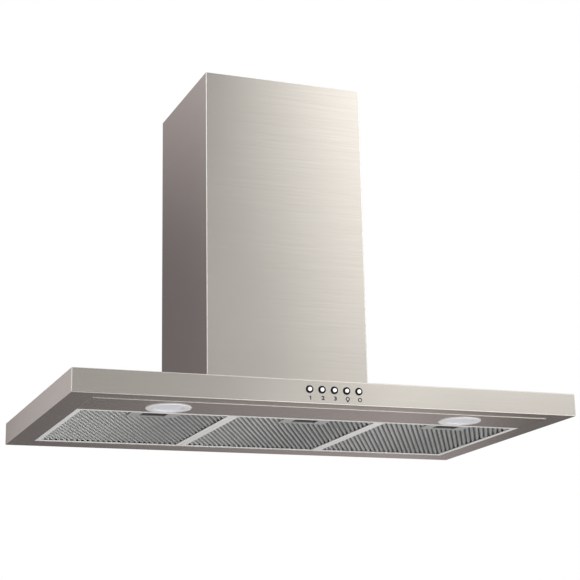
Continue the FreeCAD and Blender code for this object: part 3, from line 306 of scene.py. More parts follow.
# %% Card in front of the canopy
hidden_board("near_card", (0.05, -1.5, 0.02), 2.1, 0.44, True, "#FFFDFA",
             [(-1.0, 0.86), (-0.5, 0.62), (-0.2, 0.51), (-0.09, 0.52), (0.02, 0.54), (0.08, 0.49),
              (0.14, 0.57), (0.20, 0.70), (0.26, 0.83), (0.33, 0.74), (0.40, 0.64), (0.51, 0.76),
              (0.58, 0.80), (0.64, 0.70), (0.71, 0.59), (0.78, 0.63), (0.91, 0.68), (1.10, 0.68)])

# %% [markdown]
# No real finish is one flat colour: its tone, and often its gloss, wander a little. A picture of the
# surface could give that, but a noise has no edges and fits any shape. Nearly all of a noise lies between
# 0.3 and 0.7, so that span is spread over the tones.

# %% Start of a material, and tones from a noise
NOISE_SPAN = {"From Min": 0.3, "From Max": 0.7}


def principled(name, hex_text, metallic, roughness):
    material, tree = named_material(name)
    shader = add(tree, "ShaderNodeBsdfPrincipled",
                 {"Base Color": linear(hex_text), "Metallic": metallic, "Roughness": roughness})
    add(tree, "ShaderNodeOutputMaterial", {"Surface": shader.outputs[0]})
    return material, tree, shader


def tones(tree, pattern, hex_text, depth):
    """The colour, darker by up to the depth where the noise is high."""
    base = linear(hex_text)
    share = add(tree, "ShaderNodeMapRange", {"Value": pattern, **NOISE_SPAN})
    node = add(tree, "ShaderNodeMix", {0: share.outputs["Result"], 6: base,
                                       7: [(1 - depth) * v for v in base[:3]] + [1.0]}, data_type="RGBA")
    return node.outputs[2]


print("noise span:", NOISE_SPAN)

# %% [markdown]
# The steel is stainless with a brushed finish: a belt of fine grit is drawn along the sheet, which leaves
# scratches a few hundredths of a millimetre deep and many centimetres long. They run level on every plane.
# The eye reads them as faint streaks, and as a reflection that is drawn out across the scratches and stays
# sharp along them. A strong bump could do this, but it would need scratches finer than a pixel. So the
# shader is anisotropic, with its tangent across the grain, and the streaks vary tone, roughness and a
# little height. Real scratches are about 0.1 mm apart; here they are drawn 0.7 mm apart, as coarse as the
# render needs to show them, with broader bands 1.8 mm apart and clouds 120 mm wide.

# %% Brushed steel
GRAIN_LENGTH_MM = 90
GRAIN_WIDTH_MM = 0.7
BAND_LENGTH_MM = 480
BAND_WIDTH_MM = 1.8
BAND_SHARE = 0.35
CLOUD_MM = 120
STREAK_SWING = 0.012
CLOUD_SWING = 0.006
SCRATCH_MM = 0.02
SCRATCH_BUMP = 0.03
SLOPE = 0.7
ACROSS_UPRIGHT = (0, 0, 1)
ACROSS_LEVEL = (0, 1, 0)


def brushed_steel(name, hex_text, roughness, anisotropy, depth):
    material, tree, shader = principled(name, hex_text, 1.0, roughness)
    place = add(tree, "ShaderNodeTexCoord").outputs["Object"]
    facing = add(tree, "ShaderNodeNewGeometry").outputs["True Normal"]
    axes = add(tree, "ShaderNodeSeparateXYZ", {0: facing})
    side = add(tree, "ShaderNodeMath", {0: axes.outputs["X"]}, operation="ABSOLUTE")
    side = add(tree, "ShaderNodeMath", {0: side.outputs[0], 1: SLOPE}, operation="GREATER_THAN")
    level = add(tree, "ShaderNodeMath", {0: axes.outputs["Z"]}, operation="ABSOLUTE")
    level = add(tree, "ShaderNodeMath", {0: level.outputs[0], 1: SLOPE}, operation="GREATER_THAN")
    tangent = add(tree, "ShaderNodeMix", {0: level.outputs[0], 4: ACROSS_UPRIGHT, 5: ACROSS_LEVEL},
                  data_type="VECTOR")

    def streaked(length_mm, width_mm, detail):
        across = 1 / (width_mm * MM)
        along = 1 / (length_mm * MM)
        lengthways = add(tree, "ShaderNodeMapping", {"Vector": place, "Scale": (along, across, across)})
        sideways = add(tree, "ShaderNodeMapping", {"Vector": place, "Scale": (across, along, across)})
        run = add(tree, "ShaderNodeMix",
                  {0: side.outputs[0], 4: lengthways.outputs[0], 5: sideways.outputs[0]}, data_type="VECTOR")
        grain = add(tree, "ShaderNodeTexNoise", {"Vector": run.outputs[1], "Scale": 1.0, "Detail": detail})
        return grain.outputs[0]

    streaks = streaked(GRAIN_LENGTH_MM, GRAIN_WIDTH_MM, 3.0)
    bands = streaked(BAND_LENGTH_MM, BAND_WIDTH_MM, 2.0)
    clouds = add(tree, "ShaderNodeTexNoise", {"Vector": place, "Scale": 1 / (CLOUD_MM * MM), "Detail": 3.0})
    banded = add(tree, "ShaderNodeMix", {0: 1.0, 6: tones(tree, streaks, hex_text, depth),
                                         7: tones(tree, bands, "#FFFFFF", BAND_SHARE * depth)},
                 data_type="RGBA", blend_type="MULTIPLY")
    tree.links.new(banded.outputs[2], shader.inputs["Base Color"])
    fine = add(tree, "ShaderNodeMapRange",
               {"Value": streaks, **NOISE_SPAN, "To Min": -STREAK_SWING, "To Max": STREAK_SWING})
    broad = add(tree, "ShaderNodeMapRange",
                {"Value": clouds.outputs[0], **NOISE_SPAN,
                 "To Min": roughness - CLOUD_SWING, "To Max": roughness + CLOUD_SWING})
    shine = add(tree, "ShaderNodeMath", {0: fine.outputs[0], 1: broad.outputs[0]}, operation="ADD")
    tree.links.new(shine.outputs[0], shader.inputs["Roughness"])
    bump = add(tree, "ShaderNodeBump",
               {"Height": streaks, "Strength": SCRATCH_BUMP, "Distance": SCRATCH_MM * MM})
    tree.links.new(bump.outputs[0], shader.inputs["Normal"])
    shader.inputs["Anisotropic"].default_value = anisotropy
    tree.links.new(tangent.outputs[1], shader.inputs["Tangent"])
    return material


steel = brushed_steel("brushed stainless steel", "#D4D0CA", 0.25, 0.86, 0.08)
print("materials:", len(bpy.data.materials))

# %% [markdown]
# The other finishes are quieter, and one recipe makes them all: a noise as fine as the real grain, or as
# coarse as it needs to show, varies the tone, the roughness and sometimes the height. Zinc coating on the
# inner sheets has large soft spangles, castings and moulded plastics have a fine grain that breaks up the
# highlight, lacquer and glass are almost even, and the black rings of the buttons are smooth but throw
# back little light.

# %% Finishes with a grain
ROUGHNESS_SHARE = 0.4
GRAIN_HEIGHT_MM = 0.1
RING_SPECULAR = 0.15


def grained(name, hex_text, metallic, roughness, grain_mm, depth, bump=0.0):
    material, tree, shader = principled(name, hex_text, metallic, roughness)
    place = add(tree, "ShaderNodeTexCoord").outputs["Object"]
    grain = add(tree, "ShaderNodeTexNoise", {"Vector": place, "Scale": 1 / (grain_mm * MM)}).outputs[0]
    swing = ROUGHNESS_SHARE * depth
    tree.links.new(tones(tree, grain, hex_text, depth), shader.inputs["Base Color"])
    shine = add(tree, "ShaderNodeMapRange", {"Value": grain, **NOISE_SPAN,
                                             "To Min": roughness - swing, "To Max": roughness + swing})
    tree.links.new(shine.outputs[0], shader.inputs["Roughness"])
    if bump:
        lift = add(tree, "ShaderNodeBump",
                   {"Height": grain, "Strength": bump, "Distance": GRAIN_HEIGHT_MM * MM})
        tree.links.new(lift.outputs[0], shader.inputs["Normal"])
    return material


finishes = {
    "brushed_steel": steel,
    # dull zinc with spangles about 9 mm wide, which turn lighter and darker
    "zinc_steel": grained("galvanised steel", "#B4B7B9", 0.5, 0.42, 9.0, 0.2),
    # an even, almost white silver with a soft highlight
    "satin_metal": grained("silver lacquer", "#D9D8DB", 0.05, 0.3, 3.0, 0.015),
    # the sand's grain leaves a grey, slightly rough skin
    "cast_metal": grained("cast aluminium", "#B2B2B2", 0.6, 0.5, 1.0, 0.15, 0.3),
    # thick grey enamel with a slight orange peel
    "motor_metal": grained("painted motor steel", "#5B5E63", 0.0, 0.45, 1.0, 0.1, 0.2),
    # etched glass with nothing lit behind it: pale, milky and cool
    "frosted_glass": grained("frosted glass", "#D3D6DE", 0.0, 0.3, 3.0, 0.012, 0.02),
    # deep black with a small sharp highlight on the rounded rim
    "black_gloss": grained("gloss black plastic", "#040405", 0.0, 0.16, 1.0, 0.1),
    # a pale, glossy coat whose domed rim shows as a soft grey line
    "button_chrome": grained("pearl chrome", "#FFFFFF", 0.15, 0.14, 1.0, 0.02),
    # spark-eroded mould: a fine grain that takes the shine off
    "black_plastic": grained("moulded black plastic", "#26272A", 0.0, 0.5, 0.8, 0.2, 0.3),
    # off-white mouldings with the same grain, only fainter
    "white_plastic": grained("moulded white plastic", "#D8D7D2", 0.0, 0.45, 0.8, 0.06, 0.2),
    # drawn bars, pale and satin
    "aluminium_frame": grained("extruded aluminium", "#E4E4E4", 0.08, 0.38, 1.2, 0.05),
    # matt ink, not quite black
    "ink": grained("screen-printed ink", "#0E0E0F", 0.0, 0.7, 0.6, 0.2),
}
gloss = finishes["black_gloss"].node_tree.nodes["Principled BSDF"]
gloss.inputs["Specular IOR Level"].default_value = RING_SPECULAR
print("grained finishes:", len(finishes) - 1)

# %% [markdown]
# The foil of the filters is bright only on the crests of its folds. Little light gets into a fold, and the
# layers behind, seen between the strands there, lie in shade. Very many thin layers could be modelled, but
# painted shade gives the same look: the tone runs with the height in the fold, from bright aluminium on the
# crest to almost black at the bottom. The inner layers seen through the net are painted nearly black for
# the same shade, and the tone of both also darkens towards the right of each filter, as painted shade. From
# above, inside the hood, the inner layers lie open, so their upper side has the plain grey of aluminium.

# %% Foil of the filters
mesh_low, mesh_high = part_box("filter_mesh_middle")
FOLD_RISE = mesh_high.z - mesh_low.z
FILTER_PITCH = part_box("filter_mesh_right")[0].x - mesh_low.x
CREST_SHARE = 0.25
FOIL_GRAIN_MM = 1.6
LEVEL = 0.5


def upper_side(tree):
    """One on the faces that look up when the hood hangs, and nought on the others."""
    turned = add(tree, "ShaderNodeSeparateXYZ", {0: add(tree, "ShaderNodeTexCoord").outputs["Normal"]})
    upper = add(tree, "ShaderNodeMath", {0: turned.outputs["Z"], 1: LEVEL}, operation="GREATER_THAN")
    return upper.outputs[0]


def folded_foil(name, crest, bottom, metallic, roughness, lit, upper=None):
    """Painted shade: tones from the crest colour to the bottom one over the lit share of the fold's height.
    """
    material, tree, shader = principled(name, crest, metallic, roughness)
    place = add(tree, "ShaderNodeTexCoord").outputs["Object"]
    axes = add(tree, "ShaderNodeSeparateXYZ", {0: place})
    # painted shade: the tone darkens from the crest towards the bottom of each fold
    depth = add(tree, "ShaderNodeMapRange",
                {"Value": axes.outputs["Z"], "From Min": mesh_low.z + CREST_SHARE * lit * FOLD_RISE,
                 "From Max": mesh_low.z + lit * FOLD_RISE}, interpolation_type="SMOOTHSTEP")
    grain = add(tree, "ShaderNodeTexNoise", {"Vector": place, "Scale": 1 / (FOIL_GRAIN_MM * MM)}).outputs[0]
    tone = add(tree, "ShaderNodeMix", {0: depth.outputs["Result"], 6: tones(tree, grain, crest, 0.25),
                                       7: tones(tree, grain, bottom, 0.4)}, data_type="RGBA")
    # painted shade: the tone also darkens towards the right of each filter
    start = add(tree, "ShaderNodeMath", {0: axes.outputs["X"], 1: mesh_low.x - FILTER_PITCH},
                operation="SUBTRACT")
    across = add(tree, "ShaderNodeMath", {0: start.outputs[0], 1: FILTER_PITCH}, operation="FLOORED_MODULO")
    painted_shade_across = grey_run(tree, across.outputs[0],
                          [(0.0, 1.0), (0.3 * FILTER_PITCH, 0.95), (0.7 * FILTER_PITCH, 0.74),
                           (FILTER_PITCH, 0.8)])
    tone = add(tree, "ShaderNodeMix", {0: 1.0, 6: tone.outputs[2], 7: painted_shade_across},
               data_type="RGBA", blend_type="MULTIPLY")
    if upper:
        tone = add(tree, "ShaderNodeMix", {0: upper_side(tree), 6: tone.outputs[2],
                                           7: tones(tree, grain, upper, 0.5)}, data_type="RGBA")
    tree.links.new(tone.outputs[2], shader.inputs["Base Color"])
    return material


foil = folded_foil("expanded aluminium", "#E8EAEA", "#3E4040", 0.12, 0.3, 0.85)
# the inner layers' dark crest and bottom tones are painted shade; the upper side's grey is their own colour
finishes["aluminium_mesh"] = folded_foil("inner layers of foil", "#2E302F", "#0B0C0C", 0.2, 0.45, 0.75,
                                         "#B9BBBB")
print("folds", round(FOLD_RISE / MM, 1), "mm high, filters", round(FILTER_PITCH / MM, 1), "mm apart")

# %% [markdown]
# Each filter has a handle plate of stamped aluminium with a finger recess. The eye reads the recess as a
# dark slot, for the same reason as the folds: little light gets in. So its tone is darkened with painted
# shade within two millimetres of the plate, and the side that looks into the hood stays plain.

# %% Handle plates
RECESS_START = 0.4 * MM
RECESS_FADE = 2.0 * MM
HANDLE_GRAIN_MM = 1.4


def stamped_handle(name, hex_text, recess_shade_share):
    """Satin aluminium; painted shade darkens its recess to a share of the tone within a few millimetres."""
    material, tree, shader = principled(name, hex_text, 0.35, 0.4)
    place = add(tree, "ShaderNodeTexCoord").outputs["Object"]
    axes = add(tree, "ShaderNodeSeparateXYZ", {0: place})
    plate_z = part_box("filter_handle_middle")[0].z
    # painted shade: the tone darkens inside the recess
    light = grey_run(tree, axes.outputs["Z"],
                     [(plate_z + RECESS_START, 1.0), (plate_z + RECESS_FADE, recess_shade_share)])
    grain = add(tree, "ShaderNodeTexNoise", {"Vector": place, "Scale": 1 / (HANDLE_GRAIN_MM * MM)}).outputs[0]
    plain = tones(tree, grain, hex_text, 0.1)
    tone = add(tree, "ShaderNodeMix", {0: 1.0, 6: plain, 7: light}, data_type="RGBA", blend_type="MULTIPLY")
    tone = add(tree, "ShaderNodeMix", {0: upper_side(tree), 6: tone.outputs[2], 7: plain}, data_type="RGBA")
    tree.links.new(tone.outputs[2], shader.inputs["Base Color"])
    return material


finishes["handle"] = stamped_handle("stamped aluminium", "#B2B4B4", 0.12)
print("materials:", len(bpy.data.materials))

# %% [markdown]
# The record names a material slot for each node. Every CAD node that stays takes the finish of its slot.
# Only the handle plates have one of their own.

# %% Finishes on the CAD nodes
slot_of = {row["node"]: row["material_slot"] for row in frame["record"]["subparts"]}
body_of = {node: body for body, members in frame["record"]["behaviour"]["bodies"].items() for node in members}
for name, node in nodes.items():
    node.data.materials.clear()
    node.data.materials.append(finishes["handle" if "_handle_" in name else slot_of[name]])
print("finishes:", sorted(finishes))

# %% [markdown]
# Sheet metal is never sharp at a fold: the press brake leaves a radius of about the sheet's own thickness,
# and that small round is what catches a thin line of light on every edge. So the sheet pieces are modelled
# again as the real ones are made. A box is added at the outer size, its folded edges are bevelled, the open
# sides are deleted, the cut-outs are bisected out, and Solidify then gives the skin its gauge inwards.

# %% Start from a box
FOLD_STEPS = 4
NEAR = 1e-5


def start_box(name, low, high):
    deselect()
    middle = [(a + b) / 2 for a, b in zip(low, high)]
    bpy.ops.mesh.primitive_cube_add(size=1, location=middle)
    piece = bpy.context.active_object
    piece.name = name
    piece.scale = [b - a for a, b in zip(low, high)]
    bpy.ops.object.transform_apply(location=True, rotation=True, scale=True)
    return piece


print("a fold is rounded in", FOLD_STEPS, "steps")

# %% [markdown]
# By hand, faces and edges are clicked. A script picks them by where they are and which way they face, with
# a test that is given for each step. The piece is left in edit mode, ready for the next operator.

# %% Pick faces and edges


def start_pick(piece, kind):
    activate(piece)
    bpy.ops.object.mode_set(mode="EDIT")
    bpy.ops.mesh.select_mode(type=kind)
    bpy.ops.mesh.select_all(action="DESELECT")
    return bmesh.from_edit_mesh(piece.data)


def pick_faces(piece, test):
    mesh = start_pick(piece, "FACE")
    for face in mesh.faces:
        face.select_set(bool(test(face.calc_center_bounds(), face.normal)))
    mesh.select_flush_mode()
    bmesh.update_edit_mesh(piece.data)


def pick_edges(piece, test):
    mesh = start_pick(piece, "EDGE")
    for edge in mesh.edges:
        a, b = (vert.co for vert in edge.verts)
        edge.select_set(bool(test((a + b) / 2, (b - a).normalized())))
    mesh.select_flush_mode()
    bmesh.update_edit_mesh(piece.data)


print("places closer than", NEAR, "m count as one")

# %% [markdown]
# A window in a flat skin could be a boolean cut, but bisecting along its four sides keeps the skin to clean
# rectangles. What is inside the lines is then deleted. Round holes do take a boolean, with a cylinder.

# %% Cut-outs and modifiers
FLAT = 0.99
OTHER_WAY = 0.5


def cut_out(piece, normal, low, high):
    """Bisect the flat skin that faces one way along the four sides of a window, and delete what is inside."""
    facing = Vector(normal)
    for axis in range(3):
        if abs(facing[axis]) > OTHER_WAY:
            continue
        for edge in (low[axis], high[axis]):
            pick_faces(piece, lambda centre, turned: turned.dot(facing) > FLAT)
            through = Vector((0, 0, 0))
            through[axis] = edge
            across = Vector((0, 0, 0))
            across[axis] = 1
            bpy.ops.mesh.bisect(plane_co=through, plane_no=across)

    def inside(centre, turned):
        spans = [low[k] < centre[k] < high[k] for k in range(3) if abs(facing[k]) < OTHER_WAY]
        return turned.dot(facing) > FLAT and all(spans)

    pick_faces(piece, inside)
    bpy.ops.mesh.delete(type="FACE")
    bpy.ops.object.mode_set(mode="OBJECT")


def modify(piece, kind, **settings):
    activate(piece)
    modifier = piece.modifiers.new(kind.lower(), kind)
    for name, value in settings.items():
        setattr(modifier, name, value)
    bpy.ops.object.modifier_apply(modifier=modifier.name)


def cut_with(piece, cutter):
    modify(piece, "BOOLEAN", operation="DIFFERENCE", object=cutter, solver="EXACT")
    bpy.data.objects.remove(cutter)


print("faces within", round(math.degrees(math.acos(FLAT))), "degrees count as flat")

# %% [markdown]
# Every piece is finished in the same way. Its rounds are shaded smooth and its flats stay flat, which
# Weighted Normal does better on bevelled sheet than smooth shading alone. It takes the finish of the node
# that it stands for, and rides on that node's body.

# %% Finish a piece
SMOOTH_DEGREES = 30


def finish_piece(piece, node):
    """Smooth the rounds, give the finish of the node and ride on its body."""
    activate(piece)
    bpy.ops.object.shade_smooth_by_angle(angle=math.radians(SMOOTH_DEGREES))
    modify(piece, "WEIGHTED_NORMAL", keep_sharp=True)
    slot = slot_of[node]
    piece.data.materials.clear()
    piece.data.materials.append(finishes[slot])
    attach(piece, body_of[node])
    print(piece.name, len(piece.data.polygons), "faces")


print("bodies:", len(set(body_of.values())))

# %% [markdown]
# The canopy is one sheet, one millimetre thick, folded into a shallow tray that is upside down: a front,
# two ends, a top, and an underside of which only a ring is left. It could be built up face by face, but a
# box is quicker, and it is bevelled while it is still whole, so that the corners come out rounded in all
# three directions. The filters and the lamp panel hang in the opening below, the blower stands in the one
# above.

# %% Canopy
HALF = 450 * MM
DEPTH = 520 * MM
HEIGHT = 40 * MM
GAUGE = 1.0 * MM
FOLD = 1.8 * MM
OPENING_HALF = 408.5 * MM
OPENING_FRONT = -487.5 * MM
OPENING_REAR = -54.5 * MM
BLOWER_HALF = 120 * MM
BLOWER_FRONT = -252 * MM
BLOWER_REAR = -28 * MM

canopy = start_box("canopy", (-HALF, -DEPTH, 0), (HALF, 0, HEIGHT))
pick_edges(canopy, lambda middle, along: middle.y < -NEAR)
bpy.ops.mesh.bevel(offset=FOLD, segments=FOLD_STEPS, affect="EDGES")
pick_faces(canopy, lambda centre, turned: turned.y > FLAT)
bpy.ops.mesh.delete(type="FACE")
cut_out(canopy, (0, 0, -1), (-OPENING_HALF, OPENING_FRONT, 0), (OPENING_HALF, OPENING_REAR, 0))
cut_out(canopy, (0, 0, 1), (-BLOWER_HALF, BLOWER_FRONT, 0), (BLOWER_HALF, BLOWER_REAR, 0))
modify(canopy, "SOLIDIFY", thickness=GAUGE, offset=-1, use_even_offset=True)
print("canopy faces:", len(canopy.data.polygons))

# %% [markdown]
# Five round holes in the front take the barrels of the button rings. They are drilled, so each is cut with
# a cylinder.

# %% Button holes
BUTTON_Z = 24 * MM
BUTTON_COUNT = 5
ROW_MIDDLE_MM = -9.2
BUTTON_PITCH_MM = 22
MIDDLE_BUTTON = (BUTTON_COUNT - 1) / 2
BUTTON_X = [(ROW_MIDDLE_MM + (k - MIDDLE_BUTTON) * BUTTON_PITCH_MM) * MM for k in range(BUTTON_COUNT)]
HOLE_RADIUS = 5.1 * MM
HOLE_SIDES = 32
DRILL_LENGTH = 6 * MM

for x in BUTTON_X:
    deselect()
    bpy.ops.mesh.primitive_cylinder_add(radius=HOLE_RADIUS, depth=DRILL_LENGTH, vertices=HOLE_SIDES,
                                        location=(x, -DEPTH, BUTTON_Z), rotation=(math.pi / 2, 0, 0))
    cut_with(canopy, bpy.context.active_object)
finish_piece(canopy, "canopy_shell")
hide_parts("canopy_shell")

# %% [markdown]
# The lamp panel is a shallow pan in the front of the opening. Its front and ends are folded up with the
# same small radius, and the lips above lie on the ring of the canopy. A flat box loses its top and back,
# and the rim that is left is extruded outwards for the lips.

# %% Pan of the lamp panel
LIP = 10 * MM
panel_low, panel_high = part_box("lamp_panel")
plate_low = (panel_low.x + LIP, panel_low.y + LIP, 0)
plate_high = (panel_high.x - LIP, panel_high.y, GAUGE)
panel = start_box("lamp_pan", plate_low, plate_high)
pick_faces(panel, lambda centre, turned: turned.z > FLAT or turned.y > FLAT)
bpy.ops.mesh.delete(type="FACE")
pick_edges(panel, lambda middle, along: middle.z > GAUGE - NEAR)
bpy.ops.mesh.extrude_region()
mesh = bmesh.from_edit_mesh(panel.data)
for vert in mesh.verts:
    if vert.select:
        vert.co.x += math.copysign(LIP, vert.co.x)
        vert.co.y -= LIP if vert.co.y < plate_low[1] + NEAR else 0
bmesh.update_edit_mesh(panel.data)
print("pan", [round((b - a) / MM, 1) for a, b in zip(plate_low, plate_high)], "mm")

# %% [markdown]
# A shallow bead is pressed along the front of the pan, and it draws the thin bright line along the
# underside. The plate is bisected twice, its front strip is lowered, and then the folds are bevelled. The
# skin has to face down before Solidify gives it its gauge upwards, so the normals are set and one of them
# is printed.

# %% Bead and folds of the pan
PANEL_FOLD = 0.9 * MM
BEAD_WIDTH = 3 * MM
BEAD_SLOPE = 1.5
BEAD_DEPTH = 1.2 * MM
UPRIGHT = 0.9

for run in (BEAD_WIDTH, BEAD_SLOPE * BEAD_WIDTH):
    pick_faces(panel, lambda centre, turned: abs(turned.z) > FLAT and centre.z < GAUGE / 2)
    bpy.ops.mesh.bisect(plane_co=(0, plate_low[1] + run, 0), plane_no=(0, 1, 0))
pick_faces(panel, lambda centre, turned: abs(turned.z) > FLAT and centre.y < plate_low[1] + BEAD_WIDTH
           and centre.z < GAUGE / 2)
bpy.ops.transform.translate(value=(0, 0, -BEAD_DEPTH))
pick_edges(panel, lambda middle, along: middle.z < GAUGE / 2 and abs(along.z) < UPRIGHT
           and (abs(middle.x) > plate_high[0] - NEAR or middle.y < plate_low[1] + NEAR))
bpy.ops.mesh.bevel(offset=PANEL_FOLD, segments=FOLD_STEPS, affect="EDGES")
bpy.ops.mesh.select_all(action="SELECT")
bpy.ops.mesh.normals_make_consistent(inside=True)
bpy.ops.object.mode_set(mode="OBJECT")
flat = [face for face in panel.data.polygons if abs(face.normal.z) > FLAT and face.center.z < NEAR]
print("underside normal", [round(v, 2) for v in flat[0].normal])
modify(panel, "SOLIDIFY", thickness=GAUGE, offset=-1, use_even_offset=True)

# %% [markdown]
# The lamps sit in two round holes of the plate. Each is punched, so again a cylinder cuts it.

# %% Lamp holes
LAMP_HOLE_RADIUS = 32 * MM
LAMP_HOLE_SIDES = 64
PUNCH_LENGTH = 10 * MM

for lamp in ("left", "right"):
    low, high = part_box("lamp_lens_" + lamp)
    middle = (low + high) / 2
    deselect()
    bpy.ops.mesh.primitive_cylinder_add(radius=LAMP_HOLE_RADIUS, depth=PUNCH_LENGTH,
                                        vertices=LAMP_HOLE_SIDES, location=(middle.x, middle.y, 0))
    cut_with(panel, bpy.context.active_object)
finish_piece(panel, "lamp_panel")
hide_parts("lamp_panel")

# %% [markdown]
# Each chimney cover is a sheet folded four times: a front, two sides and a narrow return at each rear edge.
# Both start as boxes, open above, below and behind. The lower one shows; the upper one slides inside it.

# %% Lower chimney cover
RETURN = 12 * MM
LOWER_HALF = 154.4 * MM
LOWER_FRONT = -286 * MM
LOWER_TOP = 662 * MM


def folded_cover(name, half, front, rear, low, high, gauge):
    piece = start_box(name, (-half, front, low), (half, rear, high))
    pick_edges(piece, lambda middle, along: abs(along.z) > FLAT)
    bpy.ops.mesh.bevel(offset=FOLD, segments=FOLD_STEPS, affect="EDGES")
    pick_faces(piece, lambda centre, turned: abs(turned.z) > FLAT)
    bpy.ops.mesh.delete(type="FACE")
    gap = half - gauge - RETURN
    for x in (-gap, gap):
        pick_faces(piece, lambda centre, turned: turned.y > FLAT)
        bpy.ops.mesh.bisect(plane_co=(x, 0, 0), plane_no=(1, 0, 0))
    pick_faces(piece, lambda centre, turned: turned.y > FLAT and abs(centre.x) < gap)
    bpy.ops.mesh.delete(type="FACE")
    modify(piece, "SOLIDIFY", thickness=gauge, offset=-1, use_even_offset=True)
    return piece


lower_cover = folded_cover("lower_cover", LOWER_HALF, LOWER_FRONT, 0, HEIGHT, LOWER_TOP, GAUGE)
finish_piece(lower_cover, "lower_chimney")
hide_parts("lower_chimney")

# %% [markdown]
# The upper cover is of thinner sheet, and has a row of vents near its top in both sides, where the air
# comes out when the hood works without a duct. One long cutter makes the pair of slots that face each
# other.

# %% Upper chimney cover
UPPER_GAUGE = 0.8 * MM
VENT_COUNT = 6
VENT_MIDDLE_MM = -143
VENT_PITCH_MM = 26
VENT_HALF = 3 * MM
VENT_LENGTH = 34 * MM
VENT_DROP = 60 * MM

upper_low, upper_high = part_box("upper_chimney")
upper_cover = folded_cover("upper_cover", upper_high.x, upper_low.y, upper_high.y, upper_low.z, upper_high.z,
                           UPPER_GAUGE)
vent_top = upper_high.z - VENT_DROP
for k in range(VENT_COUNT):
    y = (VENT_MIDDLE_MM + (k - (VENT_COUNT - 1) / 2) * VENT_PITCH_MM) * MM
    cut_with(upper_cover, start_box("vent", (-HALF, y - VENT_HALF, vent_top - VENT_LENGTH),
                                    (HALF, y + VENT_HALF, vent_top)))
finish_piece(upper_cover, "upper_chimney")
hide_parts("upper_chimney")

# %% [markdown]
# The grease filters are folded layers of expanded aluminium: slit foil that is pulled open into diamonds. A
# material with holes could show them, but the net would have no thickness. So the outer layer is a real
# net. A grid is turned by 45 degrees and squeezed, which makes its squares diamonds, and the window of the
# frame is bisected out of it. The diamonds are 4.3 mm across, so that two fit between one ridge and the
# next. They are 9 mm long and their strands 1.35 mm wide, which is coarser than real foil, because finer
# ones wouldn't show.

# %% Grid of diamonds in the filter's window
RIDGE_PITCH = 8.6 * MM
RIDGE_TURN = math.radians(62)
DIAMOND_ACROSS = RIDGE_PITCH / 2
DIAMOND_ALONG = 9 * MM
STRAND = 1.35 * MM
BAR = 9 * MM
REAR_TAB = 9.0 * MM
GRID_REACH = 0.6
START_DROP = 10 * MM

frame_low, frame_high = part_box("filter_frame_middle")
front = frame_low.y
rear = frame_high.y - REAR_TAB
middle = (mesh_low + mesh_high) / 2
count = 2 * int(GRID_REACH * math.hypot(frame_high.x - frame_low.x, rear - front) / DIAMOND_ACROSS)
deselect()
bpy.ops.mesh.primitive_grid_add(x_subdivisions=count, y_subdivisions=count, size=count * math.sqrt(0.5),
                                location=(0, 0, 0))
net = bpy.context.active_object
net.name = "filter_foil"
net.rotation_euler = (0, 0, math.pi / 4)
bpy.ops.object.transform_apply(rotation=True)
net.scale = (DIAMOND_ALONG, DIAMOND_ACROSS, 1)
net.rotation_euler = (0, 0, RIDGE_TURN)
net.location = (middle.x, middle.y, -START_DROP)
bpy.ops.object.transform_apply(location=True, rotation=True, scale=True)
bpy.ops.object.mode_set(mode="EDIT")
for place, outward in [((frame_low.x + BAR, 0, 0), (-1, 0, 0)), ((frame_high.x - BAR, 0, 0), (1, 0, 0)),
                       ((0, front + BAR, 0), (0, -1, 0)), ((0, rear - BAR, 0), (0, 1, 0))]:
    bpy.ops.mesh.select_all(action="SELECT")
    bpy.ops.mesh.bisect(plane_co=place, plane_no=outward, clear_outer=True)
bpy.ops.object.mode_set(mode="OBJECT")
print("diamonds", len(net.data.polygons))

# %% [markdown]
# Inset draws a strand round each diamond, and deleting what is left in the middle opens it. The net stops
# at the handle plate. Shrinkwrap then lifts it onto the folds, strands that miss them are deleted, and
# Solidify gives it a gauge.

# %% Lay the net on the folds
NET_GAUGE = 0.3 * MM
HANDLE_DEPTH = 36 * MM
HANDLE_HALF = 39 * MM

pick_faces(net, lambda centre, turned: True)
bpy.ops.mesh.inset(thickness=STRAND / 2, use_individual=True, use_boundary=True)
bpy.ops.mesh.delete(type="FACE")
bpy.ops.object.mode_set(mode="OBJECT")
print("strand faces", len(net.data.polygons))
pick_faces(net, lambda centre, turned: abs(centre.x - middle.x) < HANDLE_HALF
           and centre.y < front + BAR + HANDLE_DEPTH)
bpy.ops.mesh.delete(type="FACE")
modify(net, "SHRINKWRAP", wrap_method="PROJECT", target=nodes["filter_mesh_middle"], use_project_z=True,
       use_positive_direction=True, use_negative_direction=False)
pick_faces(net, lambda centre, turned: centre.z < mesh_low.z - NEAR)
bpy.ops.mesh.delete(type="FACE")
modify(net, "SOLIDIFY", thickness=NET_GAUGE, offset=0)

# %% [markdown]
# The three filters are alike, so the net is copied to each, with a mesh of its own, and rides on that
# filter.

# %% Net of each filter


def copy_to(piece, name, shift):
    """A copy with a mesh of its own, moved in the mesh, so that its object stays at the origin."""
    copy = piece.copy()
    copy.data = piece.data.copy()
    copy.name = name
    bpy.context.collection.objects.link(copy)
    copy.data.transform(Matrix.Translation(shift))
    return copy


for tag, shift in (("left", -FILTER_PITCH), ("middle", 0), ("right", FILTER_PITCH)):
    copy = copy_to(net, "filter_foil_" + tag + "_net", (shift, 0, -NET_GAUGE / 2))
    copy.data.materials.clear()
    copy.data.materials.append(foil)
    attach(copy, "filter_" + tag)
    heights = [vert.co.z / MM for vert in copy.data.vertices]
    print(copy.name, len(copy.data.polygons), "faces", round(min(heights), 2), round(max(heights), 2))
bpy.data.objects.remove(net)

